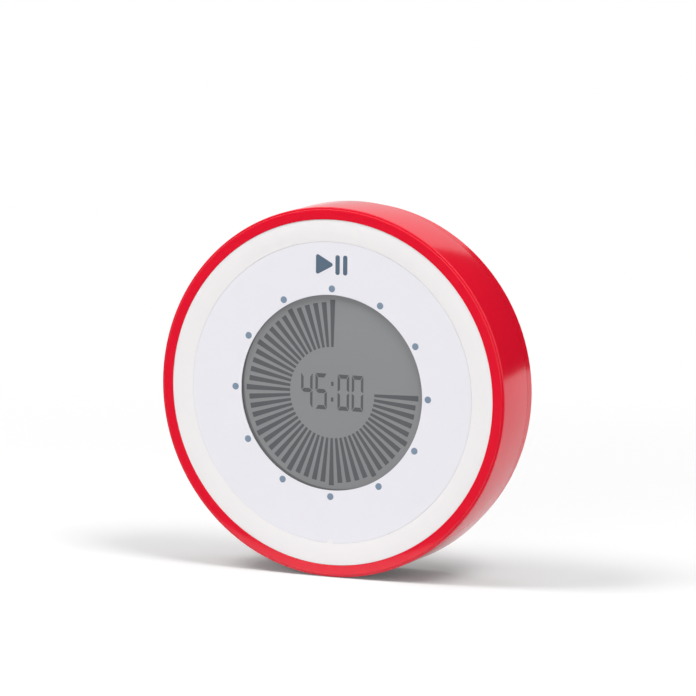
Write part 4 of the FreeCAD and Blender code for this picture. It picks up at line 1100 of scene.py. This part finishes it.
def build_floor():
    """Broad pale table that keeps the timer's shadow and turns to plain white away from it."""
    def build(bm):
        height = CAD_BOX[0][2] - FLOOR_GAP
        bm.faces.new([bm.verts.new((u * FLOOR_REACH, v * FLOOR_REACH, height))
                      for u, v in ((-1, -1), (1, -1), (1, 1), (-1, 1))])

    floor = bpy.data.objects.new("studio_floor", mesh_of("studio_floor", build))
    bpy.context.scene.collection.objects.link(floor)
    material = finish("studio white", FLOOR_TONE, roughness=0.7, grain=300.0, bump=0.0, drift=0.01,
                      dust=0.0, specular=0.2)
    tree = material.node_tree
    rays = tree.nodes.new("ShaderNodeLightPath")
    seen = math_node(tree, "MAXIMUM", rays.outputs["Is Camera Ray"], rays.outputs["Is Glossy Ray"])
    glow = tree.nodes.new("ShaderNodeEmission")
    glow.inputs["Color"].default_value = WHITE
    tree.links.new(math_node(tree, "MULTIPLY", seen, FLOOR_LIFT), glow.inputs["Strength"])
    both = tree.nodes.new("ShaderNodeAddShader")
    tree.links.new(tree.nodes["Principled BSDF"].outputs[0], both.inputs[0])
    tree.links.new(glow.outputs[0], both.inputs[1])
    place = tree.nodes.new("ShaderNodeTexCoord")
    away = vector_node(tree, "LENGTH", place.outputs["Object"])
    fade = range_node(tree, away.outputs["Value"], FADE_START, FADE_END, smooth=True)
    white = tree.nodes.new("ShaderNodeEmission")
    white.inputs["Color"].default_value = WHITE
    mix = tree.nodes.new("ShaderNodeMixShader")
    tree.links.new(math_node(tree, "MULTIPLY", fade, seen), mix.inputs["Fac"])
    tree.links.new(both.outputs[0], mix.inputs[1])
    tree.links.new(white.outputs[0], mix.inputs[2])
    tree.links.new(mix.outputs[0], tree.nodes["Material Output"].inputs["Surface"])
    floor.data.materials.append(material)


def mirror_card(name, corners, glow=0.0):
    """Flat card that only mirrors see: black, or grey where it glows a little."""
    def build(bm):
        bm.faces.new([bm.verts.new(corner) for corner in corners])

    piece = bpy.data.objects.new(name, mesh_of(name, build))
    bpy.context.scene.collection.objects.link(piece)
    tone = (0.0, 0.0, 0.0, 1.0) if glow else CARD_BLACK
    material = finish("card grey" if glow else "card black", tone, roughness=1.0, dust=0.0, specular=0.0)
    shader = material.node_tree.nodes["Principled BSDF"]
    shader.inputs["Emission Color"].default_value = WHITE
    shader.inputs["Emission Strength"].default_value = glow
    piece.data.materials.append(material)
    piece.visible_camera = False
    piece.visible_diffuse = False
    piece.visible_shadow = False
    piece.visible_transmission = False


def standing_card(name, middle, width, height, azimuth=0.0, glow=0.0):
    """Upright card with its middle at a point, turned by an azimuth."""
    middle = Vector(middle)
    across = Vector((math.cos(azimuth), math.sin(azimuth), 0)) * width / 2
    up = Vector((0, 0, height / 2))
    mirror_card(name, [middle - across - up, middle + across - up, middle + across + up,
                       middle - across + up], glow)


def build_cards():
    """Cards behind and before the timer, which give its glossy side dark and light parts."""
    standing_card("card_back_right", (0.63, 1.41, 0.55), 1.15, 1.1, math.radians(-17))
    standing_card("card_back_left", (-0.62, 1.45, 0.6), 1.4, 1.0, glow=CARD_GREY_GLOW)
    standing_card("card_back_low", (-0.1, 1.5, 0.12), 0.9, 0.24)
    standing_card("card_front_left", (-0.75, -1.6, 0.15), 2.0, 1.2, math.radians(-25))
    left, right, near, far = -1.4, 0.5, -2.2, -0.05
    height = CAD_BOX[0][2] + CARD_HEIGHT
    mirror_card("card_low_front", [(left, near, height), (right, near, height), (right, far, height),
                                   (left, far, height)])


def area_light(name, place, size, power):
    """Soft rectangular light that points at the timer's middle."""
    lamp = bpy.data.lights.new(name, "AREA")
    lamp.shape = "RECTANGLE"
    lamp.size, lamp.size_y = size
    lamp.energy = power
    light = bpy.data.objects.new(name, lamp)
    light.location = place
    towards = Vector((0.0, 0.0, AXIS_Z)) - Vector(place)
    light.rotation_euler = towards.to_track_quat("-Z", "Y").to_euler()
    light.visible_camera = False
    light.visible_glossy = False
    bpy.context.scene.collection.objects.link(light)


def build_lights():
    """Two high side lights that throw the shadows, a front fill and a top light."""
    studio = bpy.context.scene.timer_studio
    area_light("key_right", (0.67, -0.35, 1.23), (0.5, 0.5), studio.key_power)
    area_light("key_left", (-0.65, -0.38, 1.23), (0.5, 0.5), studio.key_power)
    area_light("front_fill", (0.0, -1.3, 0.5), (1.2, 0.8), studio.fill_power)
    area_light("top_light", (0.0, 0.05, 1.0), (0.7, 0.7), studio.top_power)


def build_camera():
    """Camera at the studio's angle, lens and lean."""
    studio = bpy.context.scene.timer_studio
    data = bpy.data.cameras.new("camera")
    data.lens = studio.lens
    data.sensor_width = 36.0
    data.clip_end = 20.0
    camera = bpy.data.objects.new("camera", data)
    level = math.cos(studio.elevation)
    towards = Vector((math.sin(studio.azimuth) * level, -math.cos(studio.azimuth) * level,
                      math.sin(studio.elevation)))
    camera.location = Vector(studio.aim) + towards * studio.distance
    turn = (-towards).to_track_quat("-Z", "Y")
    camera.rotation_euler = (turn @ mathutils.Quaternion((0, 0, 1), -studio.roll)).to_euler()
    bpy.context.scene.collection.objects.link(camera)
    bpy.context.scene.camera = camera
    bpy.context.scene.view_settings.view_transform = "Standard"


# Panel and registration

class TIMER_PT_panel(bpy.types.Panel):
    """Steps that build the timer, in order"""

    bl_idname = "TIMER_PT_panel"
    bl_label = "Countdown timer"
    bl_space_type = "VIEW_3D"
    bl_region_type = "UI"
    bl_category = "Timer"

    def draw(self, context):
        layout = self.layout
        for group in (context.scene.timer_ring, context.scene.timer_print, context.scene.timer_display,
                      context.scene.timer_studio):
            box = layout.box()
            for name in group.bl_rna.properties.keys():
                if name not in ("rna_type", "name"):
                    box.prop(group, name)
        for step in STEPS:
            layout.operator(step.bl_idname)


STEPS = (TIMER_OT_finishes, TIMER_OT_ring, TIMER_OT_bezel, TIMER_OT_sheet, TIMER_OT_print, TIMER_OT_display,
         TIMER_OT_screws, TIMER_OT_studio)
GROUPS = (TimerRingSettings, TimerPrintSettings, TimerDisplaySettings, TimerStudioSettings)


def register():
    for item in GROUPS + STEPS + (TIMER_PT_panel,):
        bpy.utils.register_class(item)
    bpy.types.Scene.timer_ring = bpy.props.PointerProperty(type=TimerRingSettings)
    bpy.types.Scene.timer_print = bpy.props.PointerProperty(type=TimerPrintSettings)
    bpy.types.Scene.timer_display = bpy.props.PointerProperty(type=TimerDisplaySettings)
    bpy.types.Scene.timer_studio = bpy.props.PointerProperty(type=TimerStudioSettings)


def unregister():
    del bpy.types.Scene.timer_studio
    del bpy.types.Scene.timer_display
    del bpy.types.Scene.timer_print
    del bpy.types.Scene.timer_ring
    for item in reversed(GROUPS + STEPS + (TIMER_PT_panel,)):
        bpy.utils.unregister_class(item)


def main():
    register()
    bpy.ops.timer.finishes()
    bpy.ops.timer.ring()
    bpy.ops.timer.bezel()
    bpy.ops.timer.sheet()
    bpy.ops.timer.print()
    bpy.ops.timer.display()
    bpy.ops.timer.screws()
    bpy.ops.timer.studio()
    bpy.context.view_layer.update()


if __name__ == "__main__":
    main()
